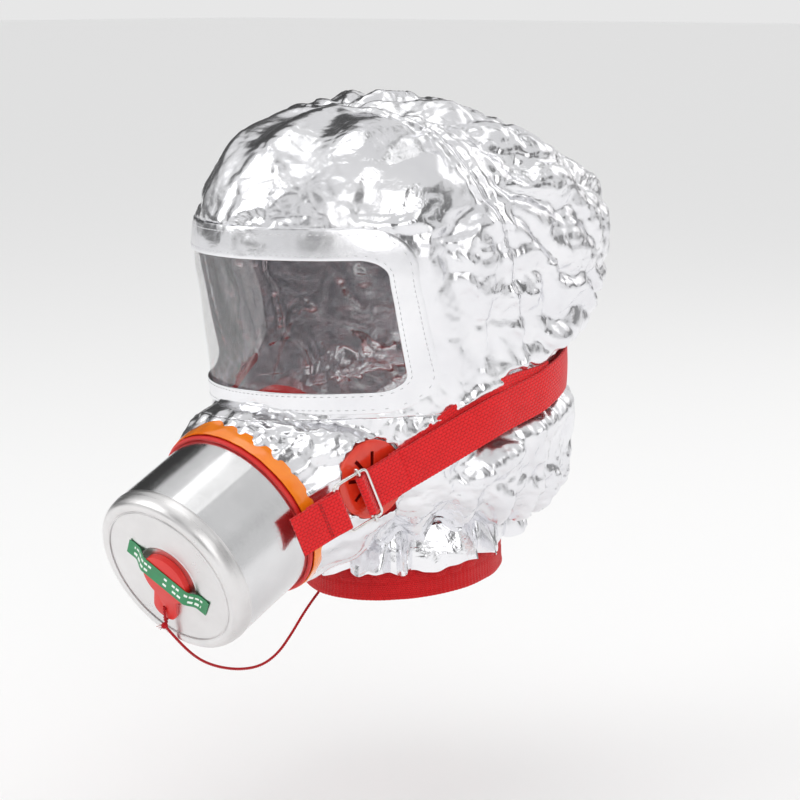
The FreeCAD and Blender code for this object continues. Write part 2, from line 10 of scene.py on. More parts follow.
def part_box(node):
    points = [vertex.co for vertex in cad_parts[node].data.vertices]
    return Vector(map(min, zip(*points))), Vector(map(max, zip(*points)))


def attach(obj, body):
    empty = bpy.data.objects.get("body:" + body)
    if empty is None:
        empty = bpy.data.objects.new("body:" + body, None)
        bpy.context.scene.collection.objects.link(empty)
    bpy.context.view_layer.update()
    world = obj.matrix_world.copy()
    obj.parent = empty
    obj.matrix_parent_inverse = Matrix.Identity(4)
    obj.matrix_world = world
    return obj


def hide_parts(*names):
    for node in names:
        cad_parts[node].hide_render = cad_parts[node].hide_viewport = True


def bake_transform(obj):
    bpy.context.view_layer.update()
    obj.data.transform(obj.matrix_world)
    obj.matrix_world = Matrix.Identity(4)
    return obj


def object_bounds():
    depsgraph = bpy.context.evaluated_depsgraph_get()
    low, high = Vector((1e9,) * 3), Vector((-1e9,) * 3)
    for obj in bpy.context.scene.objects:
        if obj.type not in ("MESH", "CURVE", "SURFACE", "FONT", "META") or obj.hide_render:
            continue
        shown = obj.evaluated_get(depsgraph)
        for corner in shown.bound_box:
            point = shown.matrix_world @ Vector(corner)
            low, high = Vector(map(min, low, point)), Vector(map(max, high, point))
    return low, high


# Smoke hood: foil cloth hood, window, half mask, canister, strap and string around the CAD frame.
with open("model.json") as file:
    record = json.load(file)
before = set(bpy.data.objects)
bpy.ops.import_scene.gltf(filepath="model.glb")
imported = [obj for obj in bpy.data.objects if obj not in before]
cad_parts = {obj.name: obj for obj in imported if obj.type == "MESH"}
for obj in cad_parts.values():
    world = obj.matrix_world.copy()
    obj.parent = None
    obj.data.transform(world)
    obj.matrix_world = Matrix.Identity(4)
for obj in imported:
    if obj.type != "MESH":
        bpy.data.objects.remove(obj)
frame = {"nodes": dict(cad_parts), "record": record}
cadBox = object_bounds()
print("frame loaded:", len(frame["nodes"]), "nodes")

mm = 0.001
nodes = frame["nodes"]
joints = {joint["name"]: joint for joint in frame["record"]["behaviour"]["joints"]}
random.seed(7)


# small helpers
def deselectAll():
    if bpy.context.object and bpy.context.object.mode != "OBJECT":
        bpy.ops.object.mode_set(mode="OBJECT")
    bpy.ops.object.select_all(action="DESELECT")


def pickOnly(obj):
    deselectAll()
    obj.select_set(True)
    bpy.context.view_layer.objects.active = obj


def useModifier(obj, kind, **values):
    pickOnly(obj)
    modifier = obj.modifiers.new(kind.title(), kind)
    for key, value in values.items():
        setattr(modifier, key, value)
    bpy.ops.object.modifier_apply(modifier=modifier.name)


def editMesh(obj, *steps):
    pickOnly(obj)
    bpy.ops.object.mode_set(mode="EDIT")
    bpy.ops.mesh.select_all(action="SELECT")
    for step in steps:
        step()
    bpy.ops.object.mode_set(mode="OBJECT")


def weld(obj, distance=0.00002):
    editMesh(obj, lambda: bpy.ops.mesh.remove_doubles(threshold=distance))


def faceOut(obj):
    editMesh(obj, lambda: bpy.ops.mesh.normals_make_consistent(inside=False))


def closeHoles(obj):
    editMesh(obj, lambda: bpy.ops.mesh.fill_holes(sides=0))


def smoothAll(obj, angle=None):
    pickOnly(obj)
    if angle:
        bpy.ops.object.shade_smooth_by_angle(angle=math.radians(angle))
    else:
        bpy.ops.object.shade_smooth()


def joined(parts, name):
    deselectAll()
    for part in parts:
        part.select_set(True)
    bpy.context.view_layer.objects.active = parts[0]
    bpy.ops.object.join()
    parts[0].name = name
    return parts[0]


def twin(obj, name):
    # a copy with a mesh of its own
    other = obj.copy()
    other.data = obj.data.copy()
    other.name = name
    bpy.context.scene.collection.objects.link(other)
    return other


def mirrorPiece(obj, name):
    # the same piece on the wearer's other side
    other = twin(obj, name)
    for vertex in other.data.vertices:
        vertex.co.x = -vertex.co.x
    editMesh(other, lambda: bpy.ops.mesh.flip_normals())
    return other


def selectFaces(obj, wanted):
    pickOnly(obj)
    bpy.ops.object.mode_set(mode="EDIT")
    bpy.ops.mesh.select_mode(type="FACE")
    bpy.ops.mesh.select_all(action="DESELECT")
    bpy.ops.object.mode_set(mode="OBJECT")
    for face in obj.data.polygons:
        face.select = wanted(face.center)
    bpy.ops.object.mode_set(mode="EDIT")


def dropFaces(obj, unwanted):
    selectFaces(obj, unwanted)
    bpy.ops.mesh.delete(type="FACE")
    bpy.ops.mesh.select_mode(type="VERT")
    bpy.ops.object.mode_set(mode="OBJECT")


def cutAway(obj, point, normal, wanted=lambda centre: True):
    # cuts the wanted faces with a plane; what lies on the normal's side goes
    selectFaces(obj, wanted)
    bpy.ops.mesh.bisect(plane_co=point, plane_no=normal, clear_outer=True, use_fill=False)
    bpy.ops.mesh.select_mode(type="VERT")
    bpy.ops.object.mode_set(mode="OBJECT")


def gridPiece(name, cells, size, place, wrap=False):
    # a grid of cells[0] by cells[1], bent to place(u, v); its UV map is in metres
    deselectAll()
    bpy.ops.mesh.primitive_grid_add(x_subdivisions=cells[0], y_subdivisions=cells[1], size=1)
    obj = bpy.context.object
    obj.name = name
    for loop in obj.data.uv_layers[0].data:
        loop.uv = (loop.uv[0] * size[0], loop.uv[1] * size[1])
    for vertex in obj.data.vertices:
        vertex.co = place(vertex.co.x + 0.5, vertex.co.y + 0.5)
    if wrap:
        weld(obj)
    return obj


def softened(node, name, width):
    # a merged copy of a CAD node's mesh with its sharp edges rounded
    obj = twin(nodes[node], name)
    obj.data.materials.clear()
    obj.hide_render = False
    editMesh(
        obj,
        lambda: bpy.ops.mesh.remove_doubles(threshold=0.00001),
        lambda: bpy.ops.mesh.dissolve_limited(angle_limit=math.radians(1)),
    )
    if width:
        useModifier(obj, "BEVEL", width=width, segments=3, limit_method="ANGLE", angle_limit=0.7)
    smoothAll(obj, 40)
    return obj


def finished(obj, body, material, replaced=()):
    if obj.type == "MESH":
        obj.data.materials.clear()
    obj.data.materials.append(material)
    if body:
        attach(obj, body)
    if replaced:
        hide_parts(*replaced)
    return obj


def smoothStep(low, high, value):
    part = min(max((value - low) / (high - low), 0.0), 1.0)
    return part * part * (3 - 2 * part)


def bell(value, width):
    return math.exp(-(value / width) ** 2)


def creased(point, size):
    # flat facets with sharp valleys between them, like crushed foil, from 0 to about 1
    near = noise.voronoi(point / size, distance_metric="DISTANCE")[0]
    return min(near[1] - near[0], 0.30) / 0.30


def between(rows, at):
    # a smooth curve through rows of numbers; at counts rows from the first
    i = min(max(int(at), 0), len(rows) - 2)
    t = at - i
    a, b, c, d = (rows[min(max(i + k, 0), len(rows) - 1)] for k in (-1, 0, 1, 2))
    result = []
    for p, q, r, s in zip(a, b, c, d):
        first, last = (r - p) / 2, (s - q) / 2
        bend = 3 * (r - q) - 2 * first - last
        twist = 2 * (q - r) + first + last
        result.append(q + t * (first + t * (bend + t * twist)))
    return result


# camera, floor, lights
view = {
    "target": Vector((0.0033, -0.0071, 0.113)),
    "toCamera": Vector((0.646, -0.743, 0.174)),
    "distance": 1.5,
    "lens": 104.6,
    "floorDrop": 0.10,
}


def makeCamera():
    deselectAll()
    toCamera = view["toCamera"].normalized()
    bpy.ops.object.camera_add(
        location=view["target"] + toCamera * view["distance"],
        rotation=toCamera.to_track_quat("Z", "Y").to_euler(),
    )
    camera = bpy.context.object
    camera.data.lens = view["lens"]
    camera.data.sensor_width = 36
    bpy.context.scene.camera = camera


def makeFloor():
    deselectAll()
    low, high = cadBox
    bpy.ops.mesh.primitive_plane_add(size=60, location=(0, 0, low.z - view["floorDrop"]))
    floor = bpy.context.object
    floor.name = "floor"
    material = bpy.data.materials.new("floor")
    material.use_nodes = True
    shader = material.node_tree.nodes["Principled BSDF"]
    shader.inputs["Base Color"].default_value = (0.93, 0.93, 0.93, 1)
    shader.inputs["Roughness"].default_value = 0.9
    floor.data.materials.append(material)


def makeLights():
    softboxes = [
        # name, place from the target, size, watts, warmth
        ("key", (-1.1, -1.5, 1.3), 1.3, 9, 1.0),
        ("fill", (1.9, -1.0, 0.8), 1.4, 6, 0.99),
        ("back", (0.6, 1.9, 1.2), 1.6, 6, 0.98),
        ("top", (0.0, 0.0, 2.2), 1.4, 6, 1.0),
    ]
    for name, place, size, watts, warmth in softboxes:
        deselectAll()
        place = Vector(place)
        bpy.ops.object.light_add(type="AREA", location=view["target"] + place)
        light = bpy.context.object
        light.name = name
        light.data.size = size
        light.data.energy = watts
        light.data.color = (1.0, warmth, warmth * 0.99)
        light.rotation_euler = place.to_track_quat("Z", "Y").to_euler()


def makeWorld():
    # a white room with darker flats round it, for the foil and the can to mirror
    world = bpy.data.worlds.new("room")
    bpy.context.scene.world = world
    world.use_nodes = True
    tree = world.node_tree
    tree.nodes.clear()
    link = tree.links.new
    output = tree.nodes.new("ShaderNodeOutputWorld")
    background = tree.nodes.new("ShaderNodeBackground")
    camera = tree.nodes.new("ShaderNodeBackground")
    camera.inputs["Color"].default_value = (0.80, 0.80, 0.80, 1)
    soft = tree.nodes.new("ShaderNodeBackground")
    soft.inputs["Strength"].default_value = 1.05
    softMix = tree.nodes.new("ShaderNodeMixShader")
    mix = tree.nodes.new("ShaderNodeMixShader")
    path = tree.nodes.new("ShaderNodeLightPath")
    where = tree.nodes.new("ShaderNodeTexCoord")
    link(path.outputs["Is Camera Ray"], mix.inputs["Fac"])
    link(path.outputs["Is Diffuse Ray"], softMix.inputs["Fac"])
    link(background.outputs[0], softMix.inputs[1])
    link(soft.outputs[0], softMix.inputs[2])
    link(softMix.outputs[0], mix.inputs[1])
    link(camera.outputs[0], mix.inputs[2])
    link(mix.outputs[0], output.inputs["Surface"])
    flats = [
        # direction, how close a ray must point (cosine), softness, darkness
        ((-0.80, 0.45, 0.32), 0.90, 0.02, 0.93),
        ((0.09, 0.25, 0.96), 0.975, 0.01, 0.90),
        ((0.62, -0.70, 0.05), 0.955, 0.02, 0.80),
        ((0.95, 0.10, 0.30), 0.965, 0.02, 0.85),
        ((-0.35, -0.92, -0.12), 0.965, 0.02, 0.85),
        ((0.30, 0.95, 0.05), 0.93, 0.03, 0.75),
        ((-0.95, -0.20, 0.02), 0.955, 0.02, 0.80),
        ((0.10, -0.75, 0.65), 0.985, 0.01, 0.85),
    ]
    total = None
    for direction, close, soft, dark in flats:
        dot = tree.nodes.new("ShaderNodeVectorMath")
        dot.operation = "DOT_PRODUCT"
        dot.inputs[1].default_value = Vector(direction).normalized()
        link(where.outputs["Generated"], dot.inputs[0])
        ramp = tree.nodes.new("ShaderNodeMapRange")
        ramp.inputs["From Min"].default_value = close - soft
        ramp.inputs["From Max"].default_value = close + soft
        ramp.inputs["To Min"].default_value = 1.0
        ramp.inputs["To Max"].default_value = 1.0 - dark
        link(dot.outputs["Value"], ramp.inputs["Value"])
        if total is None:
            total = ramp.outputs["Result"]
            continue
        times = tree.nodes.new("ShaderNodeMath")
        times.operation = "MULTIPLY"
        link(total, times.inputs[0])
        link(ramp.outputs["Result"], times.inputs[1])
        total = times.outputs[0]
    link(total, background.inputs["Color"])
    background.inputs["Strength"].default_value = 0.74


makeCamera()
makeFloor()
makeLights()
makeWorld()
bpy.context.scene.view_settings.view_transform = "Standard"
print("camera, floor and lights ready")


# node groups
class Tree:
    # short names for making and linking nodes
    def __init__(self, tree):
        self.tree = tree

    def put(self, kind, operation=None, **inputs):
        node = self.tree.nodes.new("ShaderNode" + kind)
        if operation:
            node.operation = operation
        for key, value in inputs.items():
            self.feed(node.inputs[key.replace("_", " ")], value)
        return node

    def feed(self, socket, value):
        if isinstance(value, bpy.types.NodeSocket):
            self.tree.links.new(value, socket)
        else:
            socket.default_value = value

    def math(self, operation, first, second=0.0, third=0.0):
        node = self.put("Math", operation)
        for socket, value in zip(node.inputs, (first, second, third)):
            self.feed(socket, value)
        return node.outputs[0]

    def dot(self, vector, axis):
        node = self.put("VectorMath", "DOT_PRODUCT")
        self.feed(node.inputs[0], vector)
        node.inputs[1].default_value = axis
        return node.outputs["Value"]

    def ramp(self, value, low, high, start=0.0, end=1.0):
        node = self.put("MapRange", Value=value, From_Min=low, From_Max=high, To_Min=start, To_Max=end)
        return node.outputs["Result"]

    def blend(self, factor, first, second):
        node = self.put("Mix")
        node.data_type = "RGBA"
        self.feed(node.inputs[0], factor)
        self.feed(node.inputs[6], first)
        self.feed(node.inputs[7], second)
        return node.outputs[2]


def newGroup(name, inputs, outputs):
    group = bpy.data.node_groups.new(name, "ShaderNodeTree")
    for label, kind, value in inputs:
        socket = group.interface.new_socket(label, in_out="INPUT", socket_type="NodeSocket" + kind)
        if value is not None:
            socket.default_value = value
    for label, kind in outputs:
        group.interface.new_socket(label, in_out="OUTPUT", socket_type="NodeSocket" + kind)
    start = group.nodes.new("NodeGroupInput")
    end = group.nodes.new("NodeGroupOutput")
    return group, Tree(group), start.outputs, end.inputs


def crinkleGroup():
    # creases of crushed foil: large flats, small folds, and a mask of the most crushed patches
    group, tree, given, out = newGroup(
        "crinkle",
        [("Vector", "Vector", None), ("Size", "Float", 60.0)],
        [("Height", "Float"), ("Patches", "Float")],
    )
    wobble = tree.put("TexNoise", Vector=given["Vector"], Scale=35.0, Detail=2.0)
    push = tree.put("VectorMath", "SCALE")
    tree.feed(push.inputs[0], wobble.outputs["Color"])
    push.inputs["Scale"].default_value = 0.006
    bent = tree.put("VectorMath", "ADD")
    tree.feed(bent.inputs[0], given["Vector"])
    tree.feed(bent.inputs[1], push.outputs[0])
    total = 0.0
    for scale, share in ((1.0, 0.55), (2.7, 0.28), (6.5, 0.12)):
        size = tree.math("MULTIPLY", given["Size"], scale)
        cells = tree.put("TexVoronoi", Vector=bent.outputs[0], Scale=size)
        cells.distance = "MANHATTAN"
        folds = tree.put("TexNoise", Vector=bent.outputs[0], Scale=size, Detail=1.0, Distortion=0.6)
        ridge = tree.math("ABSOLUTE", tree.math("SUBTRACT", folds.outputs["Fac"], 0.5))
        both = tree.math("MULTIPLY_ADD", cells.outputs["Distance"], 0.35, tree.math("MULTIPLY", ridge, 1.6))
        total = tree.math("MULTIPLY_ADD", both, share, total)
    where = tree.put("TexNoise", Vector=given["Vector"], Scale=14.0, Detail=2.0)
    mask = tree.ramp(where.outputs["Fac"], 0.42, 0.62, 0.25, 1.0)
    tree.feed(out["Height"], tree.math("MULTIPLY", total, mask))
    tree.feed(out["Patches"], mask)
    return group


def weaveGroup():
    # rows of short floats, each row shifted by a share of a float; the gap mask marks the low gaps between
    # floats, where painted shade darkens the colour
    group, tree, given, out = newGroup(
        "weave",
        [
            ("Vector", "Vector", None), ("Float", "Float", 0.003),
            ("Row", "Float", 0.002), ("Shift", "Float", 0.5),
        ],
        [("Height", "Float"), ("GapShade", "Float")],
    )
    parts = tree.put("SeparateXYZ", Vector=given["Vector"])
    row = tree.math("DIVIDE", parts.outputs["Y"], given["Row"])
    step = tree.math("MULTIPLY", tree.math("FLOOR", row), given["Shift"])
    along = tree.math("ADD", tree.math("DIVIDE", parts.outputs["X"], given["Float"]), step)
    wave = tree.math("ABSOLUTE", tree.math("SINE", tree.math("MULTIPLY", along, math.pi)))
    rib = tree.math("ABSOLUTE", tree.math("SINE", tree.math("MULTIPLY", row, math.pi)))
    height = tree.math("MULTIPLY", tree.math("SQRT", wave), tree.math("SQRT", rib))
    fuzz = tree.put("TexNoise", Vector=given["Vector"], Scale=2600.0, Detail=1.0)
    height = tree.math("MULTIPLY_ADD", fuzz.outputs["Fac"], 0.25, height)
    tree.feed(out["Height"], height)
    # the gap mask is 1 in the low gaps between floats; it drives painted shade there and rougher yarn
    tree.feed(out["GapShade"], tree.ramp(height, 0.1, 0.7, 1.0, 0.0))
    return group


def wearGroup():
    # smears and fine scratches
    group, tree, given, out = newGroup(
        "wear",
        [("Vector", "Vector", None), ("Scale", "Float", 40.0)],
        [("Smears", "Float"), ("Scratches", "Float")],
    )
    smears = tree.put("TexNoise", Vector=given["Vector"], Scale=given["Scale"], Detail=4.0, Roughness=0.6)
    tree.feed(out["Smears"], tree.ramp(smears.outputs["Fac"], 0.3, 0.75))
    lines = tree.put("TexNoise", Vector=given["Vector"], Scale=900.0, Detail=2.0, Distortion=1.5)
    thin = tree.math("ABSOLUTE", tree.math("SUBTRACT", lines.outputs["Fac"], 0.5))
    tree.feed(out["Scratches"], tree.ramp(thin, 0.0, 0.03, 1.0, 0.0))
    return group


groups = {"crinkle": crinkleGroup(), "weave": weaveGroup(), "wear": wearGroup()}
print("node groups ready")


# materials
class Finish:
    # a material with its Principled shader and the places a pattern can be read from
    def __init__(self, name, **plain):
        self.material = bpy.data.materials.new(name)
        self.material.use_nodes = True
        self.tree = Tree(self.material.node_tree)
        self.shader = self.material.node_tree.nodes["Principled BSDF"]
        coords = self.tree.put("TexCoord")
        self.place = coords.outputs["Object"]
        self.uv = coords.outputs["UV"]
        for key, value in plain.items():
            self.shader.inputs[key.replace("_", " ")].default_value = value

    def group(self, kind, vector, **values):
        node = self.tree.put("Group")
        node.node_tree = groups[kind]
        self.tree.feed(node.inputs["Vector"], vector)
        for key, value in values.items():
            self.tree.feed(node.inputs[key], value)
        return node.outputs

    def set(self, socket, value):
        self.tree.feed(self.shader.inputs[socket], value)

    def bump(self, height, distance, strength=1.0):
        node = self.tree.put("Bump", Height=height, Distance=distance, Strength=strength)
        self.set("Normal", node.outputs["Normal"])


def rgb(red, green, blue):
    return (red, green, blue, 1)


def foilMaterial(name, size, depth):
    foil = Finish(name, Metallic=1.0)
    creases = foil.group("crinkle", foil.place, Size=size)
    smears = foil.group("wear", foil.place, Scale=25.0)
    shade = foil.tree.blend(smears["Smears"], rgb(0.83, 0.83, 0.86), rgb(0.93, 0.93, 0.95))
    foil.set("Base Color", shade)
    foil.set("Roughness", foil.tree.ramp(creases["Patches"], 0.25, 1.0, 0.27, 0.17))
    foil.bump(creases["Height"], depth, 0.75)
    return foil.material


def metalMaterial(name, dark, bright, rough, roughest, scale=40.0, scratch=0.00002):
    metal = Finish(name, Metallic=1.0)
    marks = metal.group("wear", metal.place, Scale=scale)
    metal.set("Base Color", metal.tree.blend(marks["Smears"], dark, bright))
    metal.set("Roughness", metal.tree.ramp(marks["Smears"], 0.0, 1.0, rough, roughest))
    metal.bump(marks["Scratches"], scratch, 0.4)
    return metal.material


def rubberMaterial(name, deep, light, rough, grain=0.00004, **plain):
    rubber = Finish(name, **plain)
    marks = rubber.group("wear", rubber.place, Scale=60.0)
    rubber.set("Base Color", rubber.tree.blend(marks["Smears"], deep, light))
    rubber.set("Roughness", rubber.tree.ramp(marks["Smears"], 0.0, 1.0, rough, rough + 0.12))
    fine = rubber.tree.put("TexNoise", Vector=rubber.place, Scale=1500.0, Detail=2.0)
    rubber.bump(fine.outputs["Fac"], grain, 0.5)
    return rubber.material


def wovenMaterial(name, deep, light, floatLength, row, shift, depth, rough=0.75):
    # deep is painted shade for the gaps between floats; light is the yarn's own colour
    cloth = Finish(name, Sheen_Weight=0.25, Sheen_Roughness=0.4, Specular_IOR_Level=0.3)
    weave = cloth.group("weave", cloth.uv, Float=floatLength, Row=row, Shift=shift)
    marks = cloth.group("wear", cloth.place, Scale=90.0)
    faded = cloth.tree.blend(marks["Smears"], light, tuple(0.86 * c for c in light[:3]) + (1,))
    # painted shade: the gaps between floats darken towards the deep colour
    cloth.set("Base Color", cloth.tree.blend(weave["GapShade"], faded, deep))
    cloth.set("Roughness", cloth.tree.ramp(weave["GapShade"], 0.0, 1.0, rough, rough + 0.15))
    cloth.bump(weave["Height"], depth, 0.9)
    return cloth.material


def grainMaterial(name, deep, light, scale, depth, rough):
    # felt, paper and granules
    grain = Finish(name)
    cells = grain.tree.put("TexVoronoi", Vector=grain.place, Scale=scale)
    grain.set("Base Color", grain.tree.blend(cells.outputs["Distance"], light, deep))
    grain.set("Roughness", grain.tree.ramp(cells.outputs["Distance"], 0.0, 1.0, rough, 1.0))
    grain.bump(cells.outputs["Distance"], depth, 0.8)
    return grain.material


def filmMaterial():
    film = Finish("clearFilm", Metallic=0.0, IOR=1.4, Transmission_Weight=1.0)
    marks = film.group("wear", film.place, Scale=18.0)
    film.set("Base Color", film.tree.blend(marks["Smears"], rgb(0.97, 0.98, 0.98), rgb(1, 1, 1)))
    film.set("Roughness", film.tree.ramp(marks["Smears"], 0.0, 1.0, 0.01, 0.05))
    film.set("Alpha", film.tree.ramp(marks["Smears"], 0.0, 1.0, 0.16, 0.24))
    return film.material


def shellPlasticMaterial():
    plastic = Finish(
        "redPlastic", IOR=1.5, Subsurface_Weight=0.35, Subsurface_Scale=0.004,
        Coat_Weight=0.5, Coat_Roughness=0.08,
    )
    marks = plastic.group("wear", plastic.place, Scale=60.0)
    shade = plastic.tree.blend(marks["Smears"], rgb(0.72, 0.03, 0.012), rgb(0.86, 0.06, 0.02))
    plastic.set("Base Color", shade)
    plastic.set("Roughness", plastic.tree.ramp(marks["Smears"], 0.0, 1.0, 0.12, 0.26))
    return plastic.material


materials = {
    "foil": foilMaterial("foilCloth", 60.0, 0.0011),
    "binding": foilMaterial("foilBinding", 95.0, 0.0004),
    "film": filmMaterial(),
    "can": metalMaterial("polishedSteel", rgb(0.72, 0.72, 0.73), rgb(0.80, 0.80, 0.81), 0.09, 0.16),
    "canFace": metalMaterial("satinSteel", rgb(0.74, 0.73, 0.73), rgb(0.83, 0.82, 0.82), 0.26, 0.36),
    "screen": metalMaterial("screenSteel", rgb(0.45, 0.45, 0.46), rgb(0.6, 0.6, 0.6), 0.3, 0.5),
    "wire": metalMaterial("nickelWire", rgb(0.74, 0.72, 0.70), rgb(0.88, 0.87, 0.85), 0.12, 0.24, 200.0),
    "silicone": rubberMaterial("redSilicone", rgb(0.60, 0.012, 0.012), rgb(0.72, 0.025, 0.02), 0.36),
    "flap": rubberMaterial("flapSilicone", rgb(0.45, 0.01, 0.01), rgb(0.58, 0.02, 0.02), 0.45),
    "plug": rubberMaterial("plugSilicone", rgb(0.68, 0.018, 0.014), rgb(0.80, 0.035, 0.025), 0.33),
    "tape": rubberMaterial(
        "orangeTape", rgb(0.92, 0.20, 0.004), rgb(1.0, 0.30, 0.01), 0.16, 0.00001,
        Coat_Weight=0.8, Coat_Roughness=0.06,
    ),
    "plastic": shellPlasticMaterial(),
    # the first colour of each woven finish is painted shade in its weave gaps
    "webbing": wovenMaterial(
        "redWebbing", rgb(0.42, 0.002, 0.003), rgb(0.84, 0.016, 0.020), 0.0033, 0.0019, 0.5, 0.0005
    ),
    "knit": wovenMaterial(
        "redKnit", rgb(0.36, 0.002, 0.004), rgb(0.74, 0.010, 0.014), 0.0015, 0.0013, 0.5, 0.0004
    ),
    "elastic": wovenMaterial(
        "elasticTape", rgb(0.2, 0.01, 0.01), rgb(0.5, 0.04, 0.04), 0.001, 0.001, 0.5, 0.0002
    ),
    "string": wovenMaterial(
        "redCord", rgb(0.25, 0.001, 0.004), rgb(0.58, 0.004, 0.010), 0.0012, 0.0008, 0.5, 0.00015
    ),
    "stitch": rubberMaterial("silverThread", rgb(0.6, 0.6, 0.62), rgb(0.75, 0.75, 0.77), 0.5),
    "felt": grainMaterial("whiteFelt", rgb(0.55, 0.54, 0.50), rgb(0.85, 0.84, 0.80), 900.0, 0.0003, 0.85),
    "paper": grainMaterial("filterPaper", rgb(0.70, 0.68, 0.60), rgb(0.90, 0.88, 0.82), 500.0, 0.0001, 0.8),
    "granules": grainMaterial(
        "granules", rgb(0.02, 0.018, 0.015), rgb(0.13, 0.11, 0.09), 700.0, 0.0006, 0.7
    ),
}

nodeFinishes = {
    "canister_shell": "can", "canister_cover": "canFace", "canister_base": "can",
    "front_screen": "screen", "middle_screen": "screen", "rear_screen": "screen",
    "dust_pad": "felt", "bed_felt": "felt", "rear_felt": "felt", "pleated_filter": "paper",
    "catalyst_bed": "granules", "carbon_bed": "granules", "spring_plate": "wire",
    "front_plug": "plug", "rear_plug": "plug", "half_mask": "silicone", "neck_elastic": "elastic",
}
for side in ("left", "right"):
    for ending, kind in (
        ("valve_seat", "plastic"), ("valve_disc", "flap"), ("valve_cover", "plastic"),
        ("buckle_frame", "wire"), ("buckle_slider", "wire"),
    ):
        nodeFinishes[side + "_" + ending] = kind
for name, kind in nodeFinishes.items():
    nodes[name].data.materials.clear()
    nodes[name].data.materials.append(materials[kind])
print("materials ready")


# places taken from the frame
canAhead = Vector(joints["front_plug_pull"]["axis"]).normalized()
canUp = canAhead.cross(Vector((1, 0, 0))).normalized()
shellLow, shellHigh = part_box("canister_shell")
canRadius = (shellHigh.x - shellLow.x) / 2
canLength = (shellHigh.y - shellLow.y - 2 * canRadius * abs(canUp.y)) / abs(canAhead.y)
canFront = (shellLow + shellHigh) / 2 + canAhead * canLength / 2


def fromCan(across, up, depth):
    # a point by its distances, in mm, from the can's axis and back from its front edge
    return canFront + (Vector((1, 0, 0)) * across + canUp * up - canAhead * depth) * mm


def ringPoint(radius, turn, depth):
    angle = 2 * math.pi * turn
    return fromCan(radius * math.sin(angle), radius * math.cos(angle), depth)


hood = {
    "gather": 42.0,
    "gatherSlope": 0.13,
    "gatherWide": 63.0,
    "gatherDeep": 69.0,
    "foot": 8.0,
    "cloth": 0.0006,  # metres, as are voxel, cap and the valve openings
    # height share above the gather, then front, back, half width and middle as shares
    "rings": (
        (0.027, 0.547, 0.655, 0.732, 0.056),
        (0.092, 0.733, 0.782, 0.848, 0.056),
        (0.187, 0.853, 0.796, 0.895, 0.056),
        (0.249, 0.893, 0.732, 0.890, 0.056),
        (0.337, 0.933, 0.648, 0.885, 0.056),
        (0.425, 0.947, 0.676, 0.920, 0.077),
        (0.552, 0.973, 0.944, 0.973, 0.113),
        (0.652, 1.000, 0.986, 1.000, 0.127),
        (0.750, 0.987, 1.000, 0.982, 0.127),
        (0.843, 0.893, 0.901, 0.902, 0.092),
        (0.942, 0.760, 0.408, 0.679, -0.049),
        (0.998, 0.447, 0.056, 0.357, -0.190),
        (1.012, 0.240, -0.160, 0.010, -0.205),
    ),
    "voxel": 0.0030,
    "growth": 0.028,
    "frames": 20,
    "cap": 0.006,
    "valveDeep": 0.022,
    "valveHole": 0.0245,
    "seamY": -5.0,
    "seamZ": 160.0,
    "seamLean": 0.36,
    "chinSeam": 122.0,
}
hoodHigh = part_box("hood_front_panel")[1].z / mm
hoodFront = -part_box("hood_front_panel")[0].y / mm
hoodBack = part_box("hood_left_panel")[1].y / mm
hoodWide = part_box("hood_left_panel")[1].x / mm
windowLow, windowHigh = (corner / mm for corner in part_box("window_film"))
filmLap = 8.0  # how far the film reaches under the binding, in mm
window = {
    "halfWidth": windowHigh.x - filmLap,
    "low": windowLow.z + filmLap,
    "high": windowHigh.z - filmLap,
    "corner": 11.0,
    "openMore": 4.0,
}


def hoodRows():
    rise = hoodHigh - hood["gather"]
    gathered = (hood["gatherDeep"], hood["gatherDeep"], hood["gatherWide"], 0.0, 1.0)
    rows = [(hood["gather"] - hood["foot"],) + gathered, (hood["gather"],) + gathered]
    for share, front, back, wide, middle in hood["rings"]:
        height = hood["gather"] + share * rise
        rows.append((height, front * hoodFront, back * hoodBack, wide * hoodWide, middle * hoodBack, 0.0))
    return rows


rows = hoodRows()


def hoodAt(at, turn, proud=0.0):
    # a point on the hood by its row and its turn from the front, in degrees, in mm
    height, front, back, wide, middle, level = between(rows, at)
    across, along = math.sin(math.radians(turn)), -math.cos(math.radians(turn))
    reach = front + middle if along < 0 else back - middle
    y = middle + (reach + proud) * along
    return Vector(((wide + proud) * across, y, height + level * hood["gatherSlope"] * y))


def rowOf(height):
    # the row at a height in mm
    low, high = 1.0, len(rows) - 1.0
    for step in range(22):
        middle = (low + high) / 2
        low, high = (middle, high) if between(rows, middle)[0] < height else (low, middle)
    return low


def frontPoint(x, z, proud=0.0):
    # a point on the hood's front by its x and z, in mm
    height, front, back, wide, middle, level = between(rows, rowOf(z))
    share = min(abs(x) / wide, 0.999)
    return Vector((x, middle - (front + middle + proud) * math.sqrt(1 - share * share), z))


def windowEdge(x, z):
    # how far a point lies outside the window's rounded outline, in mm
    middle, half = (window["low"] + window["high"]) / 2, (window["high"] - window["low"]) / 2
    dx = abs(x) - window["halfWidth"] + window["corner"]
    dz = abs(z - middle) - half + window["corner"]
    outside = math.hypot(max(dx, 0.0), max(dz, 0.0))
    return outside + min(max(dx, dz), 0.0) - window["corner"]


strap = {
    "backShare": 0.379,
    "fall": 35.0,
    "power": 3.5,
    "frontTurn": 63.0,
    "proud": 5.5,
}


def strapHeight(turn):
    fall = strap["fall"] * ((180 - turn) / (180 - strap["frontTurn"])) ** strap["power"]
    return hood["gather"] + strap["backShare"] * (hoodHigh - hood["gather"]) - fall


